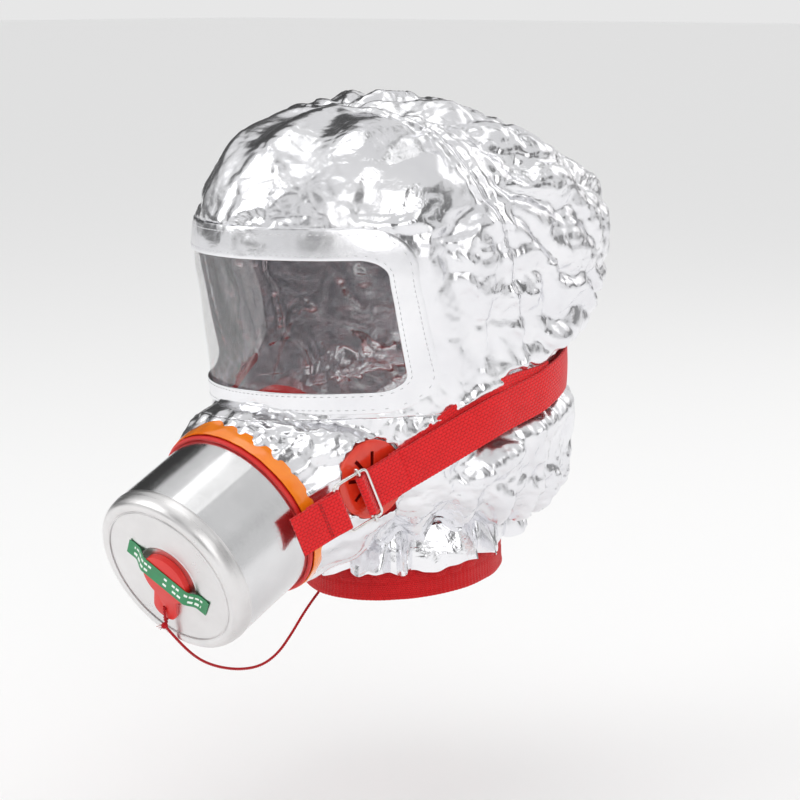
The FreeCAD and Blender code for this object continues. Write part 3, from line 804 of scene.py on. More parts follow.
# the strap's course
web = {
    "width": 25.0,
    "thick": 1.4,
    "bar": 24.0,
    "slider": 18.0,
    "wrap": 30.0,
    "tab": 33.0,
    "stitch": 10.0,
    "lap": 9.0,
}
swing = joints["left_buckle_swing"]
bucklePlace = Vector(swing["pos_m"])
buckleAlong = -Vector(joints["left_slider_slide"]["axis"]).normalized()
buckleAcross = -Vector(swing["axis"]).normalized()
buckleOut = buckleAlong.cross(buckleAcross).normalized()


def inBuckle(x, y, z):
    return bucklePlace + (buckleAlong * x + buckleAcross * y + buckleOut * z) * mm


def smoothLine(points, count):
    # evenly spaced points along a smooth line through points
    rough = [Vector(between([tuple(p) for p in points], i / 12)) for i in range(12 * (len(points) - 1) + 1)]
    travel = [0.0]
    for a, b in zip(rough, rough[1:]):
        travel.append(travel[-1] + (b - a).length)
    line, k = [], 0
    for i in range(count + 1):
        want = travel[-1] * i / count
        while k < len(travel) - 2 and travel[k + 1] < want:
            k += 1
        share = (want - travel[k]) / max(travel[k + 1] - travel[k], 1e-9)
        line.append(rough[k].lerp(rough[k + 1], share))
    return line, travel[-1]


def strapLine():
    depth = -2.1
    start = web["slider"] + web["wrap"] + 0.4
    points = [
        inBuckle(start - web["lap"], 0, depth - 1.9),
        inBuckle(start, 0, depth - 0.9),
        inBuckle(start + 9, 0, depth),
    ]
    points = [p / mm for p in points]
    for turn in range(72, 181, 9):
        height = strapHeight(turn)
        points.append(hoodAt(rowOf(height), turn, strap["proud"]))
    return points


def strapCourse():
    # the left half's smooth middle line in metres and its width direction at each point
    line, length = smoothLine(strapLine(), 300)
    line = [p * mm for p in line]
    up = Vector((0, 0, 1))
    base = buckleAcross if buckleAcross.z > 0 else -buckleAcross
    acrosses = []
    for i in range(len(line)):
        along = (line[min(i + 1, len(line) - 1)] - line[max(i - 1, 0)]).normalized()
        square = (up - along * up.dot(along)).normalized()
        acrosses.append(base.lerp(square, smoothStep(0, 30, i)).normalized())
    return line, acrosses, length


# hood cloth
folds = {
    "neckCount": 20,
    "neckDepth": 5.0,
    "ringCount": 26,
    "ringDepth": 1.0,
    "browRise": 21.0,
    "browDepth": 1.3,
    "strapDepth": 6.5,
    "strapBulge": 5.0,
    "rearDepth": 4.2,
    "wander": 3.5,
    "planes": 3.2,
}


def seamDistance(p):
    # from the arch seam's plane, in mm; above 0 behind it
    lean = math.hypot(1, hood["seamLean"])
    return (p.y - hood["seamY"] + hood["seamLean"] * (p.z - hood["seamZ"])) / lean


def foldHeight(p):
    # how far the cloth stands out of the plain form at a point in mm
    fromAxis = p - canFront / mm
    depth = -fromAxis.dot(canAhead)
    up = fromAxis.dot(canUp)
    nearRing = smoothStep(122, 66, depth) * smoothStep(95, 70, math.hypot(p.x, up))
    turn = math.degrees(math.atan2(abs(p.x), -(p.y - 10)))
    aboveNeck = p.z - hood["gather"] - hood["gatherSlope"] * p.y
    wander = noise.noise(p / 60)
    height = folds["wander"] * noise.noise(Vector((p.x / 45, p.y / 45, p.z / 80)))
    height += folds["planes"] * (creased(p + Vector((20, 0, 0)), 62) - 0.6) * smoothStep(-60, -10, p.y)
    # gathers at the neck and round the can
    swing = math.sin(math.radians(folds["neckCount"] * turn) + 2.5 * wander)
    height += folds["neckDepth"] * bell(max(aboveNeck, 0), 26) * (swing + 0.45) * (1 - nearRing)
    around = math.atan2(p.x, up)
    pleat = math.sin(folds["ringCount"] * around + 3.0 * wander)
    height += folds["ringDepth"] * nearRing * bell(depth - 72, 22) * pleat
    # fold above the window and the doubled cloth beside it
    if p.y < -40:
        brow = p.z - window["high"] - folds["browRise"] - 3 * wander
        fold = bell(brow, 5) - 0.8 * bell(brow + 8, 4)
        height += folds["browDepth"] * fold * smoothStep(105, 80, abs(p.x))
        beside = smoothStep(108, 132, p.z) * smoothStep(250, 222, p.z)
        edge = abs(p.x) - window["halfWidth"]
        doubled = 3.4 * bell(edge - 12, 3.0) - 2.5 * bell(edge - 17, 2.5) + 3.0 * bell(edge - 22, 3.2)
        height += beside * doubled
    # the strap presses a groove, and the cloth bulges beside it
    if 55 < turn:
        line = p.z - strapHeight(turn)
        pressed = smoothStep(50, 70, turn)
        height -= pressed * folds["strapDepth"] * bell(line, 14)
        height += pressed * folds["strapBulge"] * (bell(line - 27, 11) + 1.3 * bell(line + 27, 11))
    # the arch seam with its puckers
    seam = seamDistance(p)
    if p.z > 60:
        height += 2.2 * bell(seam + 3, 2.6) - 2.6 * bell(seam - 1.5, 3.0)
        height += 1.5 * bell(seam, 14) * math.sin(p.z / 3.6 + abs(p.x) / 4.4)
    # slack cloth behind it
    behind = smoothStep(0, 25, seam)
    level = math.sin(p.z / 9.0 + 0.05 * p.y + 3.0 * noise.noise(p / 38))
    height += behind * folds["rearDepth"] * (abs(level) - 0.5) * smoothStep(60, 90, aboveNeck)
    ray = math.sin(9 * math.atan2(p.x, p.y + 60) + 2.0 * wander)
    height += (1.2 + 1.8 * behind) * ray * smoothStep(225, 275, p.z)
    brow = smoothStep(-45, -80, p.y) * smoothStep(228, 245, p.z)
    height *= 1 - 0.45 * brow
    height += 1.6 * brow * math.sin(p.x / 6.5 + 2.5 * wander + p.z / 40) * smoothStep(236, 262, p.z)
    calm = smoothStep(4, 26, windowEdge(p.x, p.z)) if p.y < -40 else 1.0
    return height * calm * smoothStep(60, 72, depth)


def makeHoodForm():
    body = gridPiece(
        "hoodForm", (150, 110), (1, 1), lambda u, v: hoodAt(v * (len(rows) - 1), 360 * u) * mm, True
    )
    sleeve = [
        # depth, half width, half height, in mm
        (56, 56.9, 56.9), (64, 57.1, 57.1), (73, 58.6, 58.6), (84, 64, 60), (99, 71, 57),
        (115, 77, 54), (130, 72, 44), (142, 64, 34),
    ]

    def sleevePoint(u, v):
        depth, wide, high = between(sleeve, v * (len(sleeve) - 1))
        return fromCan(wide * math.sin(2 * math.pi * u), high * math.cos(2 * math.pi * u), depth)

    nose = gridPiece("sleeveForm", (120, 40), (1, 1), sleevePoint, True)
    for form in (body, nose):
        closeHoles(form)
        faceOut(form)
    form = joined([body, nose], "hoodForm")
    form.data.remesh_voxel_size = hood["voxel"]
    pickOnly(form)
    bpy.ops.object.voxel_remesh()
    useModifier(form, "SMOOTH", factor=0.5, iterations=10)
    return form


def openHood(form):
    # the can's opening, the neck and the window
    cutAway(form, fromCan(0, 0, 61), canAhead)
    neckNormal = Vector((0, hood["gatherSlope"], -1))
    neck = Vector((0, 0, hood["gather"])) * mm
    cutAway(form, neck, neckNormal, lambda c: c.y > -0.074 and c.z < 0.062)
    dropFaces(
        form,
        lambda c: c.y < -0.05 and windowEdge(c.x / mm, c.z / mm) < window["openMore"],
    )
    for side in ("left", "right"):
        axis = Vector(joints[side + "_valve_lift"]["axis"])
        low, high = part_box(side + "_valve_cover")
        middle = (low + high) / 2
        dropFaces(
            form,
            lambda c: abs((c - middle).dot(axis)) < hood["valveDeep"]
            and (c - middle).cross(axis).length < hood["valveHole"],
        )
    dropFaces(form, lambda c: (c.z < 0.045) and math.hypot(c.x / 0.060, c.y / 0.066) < 1.0)


def pushOut(obj, amount):
    # moves each point along its normal by amount(point in mm), in mm
    moved = [v.co + v.normal * amount(v.co / mm) * mm for v in obj.data.vertices]
    for vertex, place in zip(obj.data.vertices, moved):
        vertex.co = place


def holdWeight(p):
    # how firmly the cloth is held at a point in mm
    depth = -(p - canFront / mm).dot(canAhead)
    aboveNeck = p.z - hood["gather"] - hood["gatherSlope"] * p.y
    turn = math.degrees(math.atan2(abs(p.x), -(p.y - 10)))
    held = [smoothStep(75, 66, depth), smoothStep(12, 4, aboveNeck) * smoothStep(110, 130, depth)]
    if p.y < -40:
        held.append(smoothStep(20, 12, windowEdge(p.x, p.z)))
    if turn > 62:
        held.append(smoothStep(13, 7, abs(p.z - strapHeight(turn))))
    held.append(0.7 * smoothStep(6, 2, abs(seamDistance(p))))
    return max(held)


clothSettings = {
    "quality": 4,
    "mass": 0.15,
    "tension_stiffness": 15,
    "compression_stiffness": 15,
    "shear_stiffness": 8,
    "bending_stiffness": 0.6,
    "use_pressure": True,
    "uniform_pressure_force": 0.1,
}


def slacken(obj):
    # cloth simulation: the cloth is cut larger than the form it is held to, so it wrinkles
    before = [v.co.copy() for v in obj.data.vertices]
    group = obj.vertex_groups.new(name="held")
    for vertex in obj.data.vertices:
        weight = holdWeight(vertex.co / mm)
        if weight > 0.02:
            group.add([vertex.index], weight, "REPLACE")
    pickOnly(obj)
    modifier = obj.modifiers.new("Cloth", "CLOTH")
    cloth = modifier.settings
    for key, value in clothSettings.items():
        setattr(cloth, key, value)
    cloth.vertex_group_mass = "held"
    cloth.shrink_min = -hood["growth"]
    cloth.effector_weights.gravity = 0
    modifier.point_cache.frame_start = 1
    modifier.point_cache.frame_end = hood["frames"]
    for step in range(1, hood["frames"] + 1):
        bpy.context.scene.frame_set(step)
    bpy.ops.object.modifier_apply(modifier=modifier.name)
    bpy.context.scene.frame_set(1)
    for vertex, start in zip(obj.data.vertices, before):
        move = vertex.co - start
        if move.length > hood["cap"]:
            vertex.co = start + move * (hood["cap"] / move.length)
    obj.vertex_groups.clear()


def crumple(p):
    # small hard creases, stronger in patches
    calm = smoothStep(3, 20, windowEdge(p.x, p.z)) if p.y < -40 else 1.0
    patch = smoothStep(-0.30, 0.30, noise.noise(p / 48 + Vector((3, 1, 7))))
    bent = p + Vector((noise.noise(p / 14), noise.noise(p / 14 + Vector((5, 0, 0))), 0)) * 5
    height = 1.3 * (creased(bent, 30) - 0.7)
    height += 0.75 * (0.25 + patch) * (creased(bent + Vector((40, 0, 9)), 12) - 0.7)
    height += 0.3 * patch * (creased(bent + Vector((7, 30, 9)), 5.5) - 0.7)
    brow = smoothStep(-45, -75, p.y) * smoothStep(215, 235, p.z)
    fromAxis = p - canFront / mm
    sleeve = smoothStep(100, 75, -fromAxis.dot(canAhead))
    return height * (0.2 + 0.8 * calm) * (1 - 0.6 * brow) * (1 - 0.6 * sleeve)


def nearStrap():
    # the strap's and tab's middle lines with the way out, and how far under them the cloth stays
    spots = []
    line, acrosses, length = strapCourse()
    for i in range(0, len(line), 2):
        along = (line[min(i + 1, len(line) - 1)] - line[max(i - 1, 0)]).normalized()
        out = along.cross(acrosses[i]).normalized()
        out = out if out.x * line[i].x + out.y * line[i].y > 0 else -out
        spots.append((line[i], acrosses[i], out, 3.6 if i < 170 else 1.7))
    for x in range(-36, 48, 3):
        out = buckleOut if buckleOut.x > 0 else -buckleOut
        spots.append((inBuckle(x, 0, 0), buckleAcross, out, 3.4))
    tree = KDTree(len(spots))
    for i, spot in enumerate(spots):
        tree.insert(spot[0], i)
    tree.balance()
    return spots, tree


def pressUnderStrap(obj):
    spots, tree = nearStrap()
    for vertex in obj.data.vertices:
        sign = 1 if vertex.co.x >= 0 else -1
        p = Vector((sign * vertex.co.x, vertex.co.y, vertex.co.z))
        found, i, distance = tree.find(p)
        if distance > 0.030:
            continue
        centre, across, out, under = spots[i]
        lateral = abs((p - centre).dot(across)) / mm
        limit = -under + 16 * smoothStep(12.5, 24, lateral)
        height = (p - centre).dot(out) / mm
        if height > limit:
            p -= out * (height - limit) * mm
            vertex.co = Vector((sign * p.x, p.y, p.z))


def hoodPiece(whole, name, cuts):
    piece = twin(whole, name)
    for point, normal in cuts:
        cutAway(piece, point, normal)
    useModifier(piece, "SOLIDIFY", thickness=hood["cloth"], offset=-1)
    smoothAll(piece)
    return piece


def makeHood():
    form = makeHoodForm()
    openHood(form)
    print("hood form:", len(form.data.vertices), "points")
    pushOut(form, foldHeight)
    slacken(form)
    print("hood cloth slackened")
    useModifier(form, "SUBSURF", levels=1, render_levels=1)
    pushOut(form, crumple)
    pressUnderStrap(form)
    seamPoint = Vector((0, hood["seamY"], hood["seamZ"])) * mm
    seamNormal = Vector((0, 1, hood["seamLean"]))
    chin = Vector((0, 0, hood["chinSeam"])) * mm
    up, left = Vector((0, 0, 1)), Vector((1, 0, 0))
    pieces = {
        # name: node, flat size and area in metres, set to the finished cloth, and the parting planes
        "hoodFront": ("hood_front_panel", (0.36, 0.22), 0.054, [(seamPoint, seamNormal), (chin, -up)]),
        "hoodChin": ("hood_chin_panel", (0.34, 0.20), 0.048, [(seamPoint, seamNormal), (chin, up)]),
        "hoodLeft": ("hood_left_panel", (0.27, 0.33), 0.070, [(seamPoint, -seamNormal), (Vector(), -left)]),
        "hoodRight": ("hood_right_panel", (0.27, 0.33), 0.070, [(seamPoint, -seamNormal), (Vector(), left)]),
    }
    for name, (node, flat, area, cuts) in pieces.items():
        piece = hoodPiece(form, name, cuts)
        finished(piece, "root", materials["foil"], [node])
    bpy.data.objects.remove(form)
    print("hood panels ready")


makeHood()


# window and its binding
binding = {
    "top": 19.0,
    "sides": 9.0,
    "bottom": 13.0,
    "proud": 1.9,
    "thickness": 0.0008,
    "stitchLines": (0.16, 0.80),
    "stitchRun": 510.0,
    "stitchPitch": 3.6,
    "stitchLength": 2.5,
    "stitchRadius": 0.33,
}


def outlinePoint(turn, grow):
    # a point on the window's outline by a turn from 0 to 1, and which way is outward there
    wide = window["halfWidth"] + grow
    high = (window["high"] - window["low"]) / 2 + grow
    corner = window["corner"] + grow * 0.4
    straightX, straightZ = 2 * (wide - corner), 2 * (high - corner)
    arc = math.pi * corner / 2
    travel = (turn % 1.0) * (2 * straightX + 2 * straightZ + 4 * arc)
    middle = (window["low"] + window["high"]) / 2
    for length, cx, cz, angle in (
        (straightX, wide - corner, high - corner, 90), (straightZ, wide - corner, -high + corner, 0),
        (straightX, -wide + corner, -high + corner, 270), (straightZ, -wide + corner, high - corner, 180),
    ):
        side = math.radians(angle)
        out = Vector((math.cos(side), 0, math.sin(side)))
        along = Vector((math.sin(side), 0, -math.cos(side)))
        base = Vector((cx, 0, middle + cz))
        if travel <= length:
            return base + out * corner - along * (length - travel), out
        travel -= length
        if travel <= arc:
            turned = side - travel / corner
            out = Vector((math.cos(turned), 0, math.sin(turned)))
            return base + out * corner, out
        travel -= arc
    return base + out * corner, out


def bindingPoint(turn, share, proud):
    # share is 0 at the window's edge and 1 at the binding's outer edge
    edge, out = outlinePoint(turn, 0)
    width = binding["sides"] + (binding["top"] - binding["sides"]) * max(out.z, 0) ** 2
    width += (binding["bottom"] - binding["sides"]) * max(-out.z, 0) ** 2
    spot = edge + out * width * share
    ripple = 0.5 * noise.noise(spot / 14) + 0.25 * noise.noise(spot / 5)
    return frontPoint(spot.x, spot.z, proud + ripple * (0.3 + share)) * mm


def stitchPiece(name, places, radius, length):
    # one stitch, copied to each place with its direction and the side it lies on
    deselectAll()
    bpy.ops.mesh.primitive_uv_sphere_add(segments=6, ring_count=4, radius=1)
    model = bpy.context.object
    parts = []
    for spot, along, out in places:
        stitch = twin(model, "stitch")
        side = along.cross(out).normalized()
        for vertex in stitch.data.vertices:
            x, y, z = vertex.co
            vertex.co = spot + along * z * length / 2 + side * x * radius + out * y * radius
        parts.append(stitch)
    bpy.data.objects.remove(model)
    piece = joined(parts, name)
    faceOut(piece)
    smoothAll(piece)
    return piece


def makeWindow():
    half, low, high = window["halfWidth"] + 6, window["low"] - 6, window["high"] + 6

    def filmPoint(u, v):
        x, z = (2 * u - 1) * half, low + v * (high - low)
        dent = 0.9 * noise.noise(Vector((x / 60, 0, z / 30)))
        return frontPoint(x, z, -1.2 + dent) * mm

    film = gridPiece("windowFilm", (64, 34), (2 * half * mm, (high - low) * mm), filmPoint)
    faceOut(film)
    useModifier(film, "SOLIDIFY", thickness=0.0004, offset=0)
    smoothAll(film)
    finished(film, "root", materials["film"], ["window_film"])

    around = 440
    bound = gridPiece(
        "windowBinding", (around, 10), (0.5, 0.015), lambda u, v: bindingPoint(u, v, binding["proud"]), True
    )
    faceOut(bound)
    useModifier(bound, "SOLIDIFY", thickness=binding["thickness"], offset=-1)
    useModifier(bound, "BEVEL", width=0.0003, segments=2, limit_method="ANGLE", angle_limit=0.9)
    smoothAll(bound, 50)
    finished(bound, "root", materials["binding"], ["window_binding"])
    places = []
    for line in binding["stitchLines"]:
        count = int(binding["stitchRun"] / binding["stitchPitch"])
        for i in range(count):
            spot = bindingPoint(i / count, line, binding["proud"] + 0.1)
            ahead = bindingPoint((i + 0.4) / count, line, binding["proud"] + 0.1)
            within = bindingPoint(i / count, line + 0.1, binding["proud"] + 0.1)
            along = (ahead - spot).normalized()
            out = along.cross(within - spot).normalized()
            out = out if out.y < 0 else -out
            places.append((spot, along, out))
    radius, length = binding["stitchRadius"] * mm, binding["stitchLength"] * mm
    thread = stitchPiece("windowStitching", places, radius, length)
    finished(thread, "root", materials["stitch"])


# neck: frill, collar
neck = {
    "slopeLow": 0.09,
    "slopeHigh": 0.13,
    "hem": 12.0,
    "diamond": 12.5,
    "diamondDepth": 0.5,
    "ribPitch": 3.0,
    "wall": 2.2,
    "frillLength": 20.0,
    "frillFlare": 9.0,
    "frillFolds": 17,
    "frillDepth": 6.5,
}
collarLow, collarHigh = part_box("neck_collar")
collarWide = collarHigh.x / mm
collarDeep = collarHigh.y / mm
collarTop = (collarHigh.z / mm) - neck["slopeHigh"] * collarDeep


def collarPoint(u, v):
    angle = 2 * math.pi * u
    up = v * collarTop
    around = u * 2 * math.pi * (collarWide + collarDeep) / 2
    bulge = 0.8 * noise.noise(Vector((4 * math.sin(angle), 4 * math.cos(angle), up / 40)))
    if up < neck["hem"]:
        rib = abs(math.sin(math.pi * around / neck["ribPitch"]))
        bulge += 0.35 * rib - 0.5 * bell(up - neck["hem"], 1.2) + 0.5 * bell(up - 1.5, 2)
    else:
        a = around / neck["diamond"] + up / neck["diamond"] / 1.2
        b = around / neck["diamond"] - up / neck["diamond"] / 1.2
        groove = min(abs(a - round(a)), abs(b - round(b)))
        bulge += neck["diamondDepth"] * (smoothStep(0.0, 0.16, groove) - 0.5)
    slope = neck["slopeLow"] + (neck["slopeHigh"] - neck["slopeLow"]) * v
    wide, deep = collarWide - 0.6 + bulge, collarDeep - 0.6 + bulge
    y = deep * math.cos(angle)
    return Vector((wide * math.sin(angle), y, up + slope * y)) * mm


def frillPoint(u, v):
    # from the gather at v = 0 to the hem at v = 1; folds open towards the hem
    angle = 2 * math.pi * u
    spot = Vector((math.sin(angle), math.cos(angle), 0))
    uneven = noise.noise(spot * 2.6)
    phase = neck["frillFolds"] * angle + 5.0 * uneven
    swing = math.sin(phase) + 0.3 * math.sin(2.3 * phase + 1)
    swing = math.copysign(min(abs(swing), 1) ** 0.7, swing)
    length = neck["frillLength"] * (1 + 0.32 * noise.noise(spot * 6.5 + Vector((9, 2, 4))))
    flare = neck["frillFlare"] * math.sin(v * 1.7) * (1 + 0.5 * uneven)
    grow = 2.2 + flare + neck["frillDepth"] * v ** 0.8 * swing
    side = 1.6 * v * math.cos(phase) / collarWide
    crumpled = 0.9 * v * noise.noise(Vector((angle * 14, v * 5, 2)))
    wide, deep = collarWide + 0.6 + grow + crumpled, collarDeep + 0.6 + grow + crumpled
    y = deep * math.cos(angle + side)
    x = wide * math.sin(angle + side)
    shorter = 1 - 0.32 * smoothStep(0, collarDeep, y)
    drop = v * length * shorter * (1 - 0.10 * swing) - 5 * (1 - v)
    return Vector((x, y, hood["gather"] + 1.0 - drop + neck["slopeHigh"] * y)) * mm


def makeNeck():
    around = 2 * math.pi * (collarWide + collarDeep) / 2 * mm
    collar = gridPiece("collarKnit", (540, 62), (around, collarTop * mm), collarPoint, True)
    faceOut(collar)
    useModifier(collar, "SOLIDIFY", thickness=neck["wall"] * mm, offset=-1)
    smoothAll(collar, 60)
    finished(collar, "root", materials["knit"], ["neck_collar"])
    frill = gridPiece("hoodFrill", (520, 14), (around * 1.5, 0.02), frillPoint, True)
    faceOut(frill)
    useModifier(frill, "SOLIDIFY", thickness=0.0006, offset=0)
    smoothAll(frill, 35)
    finished(frill, "root", materials["foil"], ["neck_frill"])


# can: cover, ring, plug, label
can = {
    # radius share and height in mm above the front edge
    "coverProfile": (
        (1.002, -5.0), (1.006, -3.2), (1.002, -1.4), (0.998, 0.6), (0.985, 3.4), (0.962, 5.6), (0.93, 6.8),
        (0.895, 7.0), (0.868, 6.7), (0.852, 6.2), (0.842, 6.5), (0.832, 6.6), (0.82, 6.25), (0.60, 6.2),
        (0.42, 6.2), (0.40, 6.4), (0.385, 6.4), (0.37, 6.1), (0.27, 6.1), (0.262, 5.6), (0.262, 1.5),
    ),
    "bandDepth": 60.0,
    "bandWidth": 10.5,
    "labelTurn": -37.0,
    "labelLength": 62.0,
    "labelWidth": 13.0,
    "coverFace": 6.2,
    "labelHead": 4.3,
    "labelFace": 6.45,
    "labelStep": (24.5, 15.5),
    "tapeRadius": 57.35,
}


def turned(name, profile, around):
    # a lathe piece about the can's axis from (radius, height) in mm
    def spot(u, v):
        radius, height = between(profile, v * (len(profile) - 1))
        return ringPoint(radius, u, -height)

    piece = gridPiece(name, (around, 4 * (len(profile) - 1)), (1, 1), spot, True)
    faceOut(piece)
    return piece


def makeCan():
    radius = canRadius / mm
    cover = turned("canCover", [(r * radius, h) for r, h in can["coverProfile"]], 180)
    useModifier(cover, "SOLIDIFY", thickness=0.0005, offset=-1)
    smoothAll(cover, 45)
    finished(cover, "root", materials["canFace"], ["canister_cover"])

    lip = [(56.0, -59.8), (56.6, -58.6), (56.5, -57.4), (55.6, -56.8), (54.5, -57.3), (54.3, -59.0)]
    seal = turned("socketLip", lip + [(54.6, -60.0), (56.0, -59.8)], 180)
    weld(seal)
    smoothAll(seal)
    finished(seal, "root", materials["silicone"])

    start, width = can["bandDepth"], can["bandWidth"]

    def tapePoint(u, v):
        torn = 2.4 * bell((u - 0.985) * 40, 1.0) + 1.4 * bell((u - 0.02) * 30, 1.0)
        edge = 0.35 * noise.noise(Vector((math.sin(6.28 * u) * 9, math.cos(6.28 * u) * 9, 1)))
        depth = start + v * (width + torn + edge) + edge
        lift = 0.35 * noise.noise(Vector((math.sin(6.28 * u) * 7, math.cos(6.28 * u) * 7, v * 2)))
        lift += 1.0 * smoothStep(0.75, 1.0, v) * bell((u - 0.985) * 40, 1.2)
        return ringPoint(can["tapeRadius"] + 0.5 * math.sin(math.pi * v) + lift, u, depth)

    tape = gridPiece("socketTape", (260, 12), (0.36, 0.01), tapePoint, True)
    faceOut(tape)
    useModifier(tape, "SOLIDIFY", thickness=0.0008, offset=-1)
    smoothAll(tape, 50)
    finished(tape, "root", materials["tape"], ["socket_band"])

    plug = softened("front_plug", "frontPlug", 0.0009)
    finished(plug, "front_plug", materials["plug"], ["front_plug"])
    rear = softened("rear_plug", "rearPlug", 0.0008)
    finished(rear, "rear_plug", materials["plug"], ["rear_plug"])


def labelMaterial(origin, along, across):
    # green film with two rows of plain pale bars
    label = Finish("greenLabel")
    shifted = label.tree.put("VectorMath", "SUBTRACT")
    label.tree.feed(shifted.inputs[0], label.place)
    shifted.inputs[1].default_value = origin
    x = label.tree.dot(shifted.outputs[0], along)
    y = label.tree.dot(shifted.outputs[0], across)
    rowsOf = []
    for centre, cell in ((0.0026, 0.0031), (-0.0026, 0.0037)):
        offRow = label.tree.math("ABSOLUTE", label.tree.math("SUBTRACT", y, centre))
        inRow = label.tree.math("LESS_THAN", offRow, 0.0011)
        steps = label.tree.math("DIVIDE", x, cell)
        whole = label.tree.math("FLOOR", steps)
        inBar = label.tree.math("LESS_THAN", label.tree.math("SUBTRACT", steps, whole), 0.72)
        chance = label.tree.put("TexWhiteNoise")
        chance.noise_dimensions = "1D"
        label.tree.feed(chance.inputs["W"], whole)
        shown = label.tree.math("GREATER_THAN", chance.outputs["Value"], 0.18)
        inside = label.tree.math("LESS_THAN", label.tree.math("ABSOLUTE", x), 0.0265)
        row = label.tree.math("MULTIPLY", label.tree.math("MULTIPLY", inRow, inBar), shown)
        rowsOf.append(label.tree.math("MULTIPLY", row, inside))
    ink = label.tree.math("MAXIMUM", rowsOf[0], rowsOf[1])
    marks = label.group("wear", label.place, Scale=120.0)
    ground = label.tree.blend(marks["Smears"], rgb(0.012, 0.21, 0.07), rgb(0.02, 0.29, 0.105))
    label.set("Base Color", label.tree.blend(ink, ground, rgb(0.86, 0.92, 0.86)))
    label.set("Roughness", label.tree.ramp(marks["Smears"], 0.0, 1.0, 0.32, 0.45))
    label.bump(ink, 0.00003, 0.5)
    return label.material


def makeLabel():
    turn = math.radians(can["labelTurn"])
    along = Vector((1, 0, 0)) * math.cos(turn) + canUp * math.sin(turn)
    across = canAhead.cross(along)
    half, width = can["labelLength"] / 2, can["labelWidth"]
    head, face = can["coverFace"] + can["labelHead"], can["labelFace"]

    def labelPoint(u, v):
        x = (2 * u - 1) * half
        rise = smoothStep(*can["labelStep"], abs(x))
        height = face + (head - face) * rise + 0.25 * bell(abs(x) - 23, 3) * math.sin(9 * v)
        height += 0.5 * smoothStep(28, 31, abs(x)) * v
        return canFront + (along * x + across * (v - 0.5) * width + canAhead * height) * mm

    label = gridPiece("coverLabel", (90, 12), (half * 2 * mm, width * mm), labelPoint)
    useModifier(label, "SOLIDIFY", thickness=0.0003, offset=1)
    faceOut(label)
    smoothAll(label, 50)
    origin = canFront + canAhead * face * mm
    finished(label, "front_plug", labelMaterial(origin, along, across), ["cover_label"])


# half mask and valves
def makeMask():
    mask = twin(nodes["half_mask"], "halfMask")
    mask.hide_render = False
    weld(mask)
    mask.data.remesh_voxel_size = 0.0011
    pickOnly(mask)
    bpy.ops.object.voxel_remesh()
    useModifier(mask, "SMOOTH", factor=0.5, iterations=4)
    useModifier(mask, "DECIMATE", ratio=0.45)
    smoothAll(mask)
    finished(mask, "root", materials["silicone"], ["half_mask"])
    for side in ("left", "right"):
        cover = softened(side + "_valve_cover", side + "ValveCover", 0.0005)
        finished(cover, "root", materials["plastic"], [side + "_valve_cover"])


# strap, tabs, buckles
def strapPiece(name, line, acrosses, length, bow=0.35, skew=lambda s: 0.0):
    # webbing along a line of points in metres; acrosses gives its width direction at each
    count = len(line) - 1
    half = web["width"] / 2 * mm

    def spot(u, v):
        i = min(int(round(u * count)), count)
        along = (line[min(i + 1, count)] - line[max(i - 1, 0)]).normalized()
        across = acrosses[i].normalized()
        out = along.cross(across).normalized()
        side = 2 * v - 1
        edge = 1 + 0.012 * math.sin(i * 2.1)
        offset = out * (bow * mm * (1 - side * side)) + across * skew(u) * mm
        return line[i] + across * side * half * edge + offset

    piece = gridPiece(name, (count, 16), (length, web["width"] * mm), spot)
    useModifier(piece, "SOLIDIFY", thickness=web["thick"] * mm, offset=0)
    faceOut(piece)
    smoothAll(piece, 50)
    return piece


def arcPoints(cx, cz, radius, start, end, count):
    turns = [math.radians(start + (end - start) * i / count) for i in range(count + 1)]
    return [(cx + radius * math.cos(a), cz + radius * math.sin(a)) for a in turns]


def localStrap(name, line, bow=0.15):
    # webbing in the buckle's own frame, along (x, z) in mm
    smooth, length = smoothLine([Vector((x, 0, z)) for x, z in line], 170)
    points = [inBuckle(p.x, 0, p.z) for p in smooth]
    return strapPiece(name, points, [buckleAcross] * len(points), length * mm, bow)


def bothSides(left, name, body, material, node):
    right = mirrorPiece(left, "right" + name)
    for side, piece in (("left", left), ("right", right)):
        finished(piece, body.replace("SIDE", side) if body else None, material, [side + node])
    return left, right


def bentWebbing(left, name, node):
    # webbing on both sides, attached to no body, with its transform baked into the mesh
    right = mirrorPiece(left, "right" + name)
    for side, piece in (("left", left), ("right", right)):
        finished(piece, None, materials["webbing"], [node.replace("SIDE", side)])
        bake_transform(piece)


def makeHeadStrap():
    line, acrosses, length = strapCourse()
    left = strapPiece("leftHeadStrap", line, acrosses, length * mm, 0.5)
    bentWebbing(left, "HeadStrap", "head_strap")
    seamLine = line[-1]
    places = []
    for sign in (-1, 1):
        for i in range(9):
            z = seamLine.z + (i - 4) * 2.5 * mm
            spot = Vector((sign * 2.2 * mm, seamLine.y + 1.25 * mm, z))
            places.append((spot, Vector((0, 0, 1)), Vector((0, 1, 0))))
    back = stitchPiece("strapSeamThread", places, 0.3 * mm, 1.8 * mm)
    finished(back, "root", materials["string"])


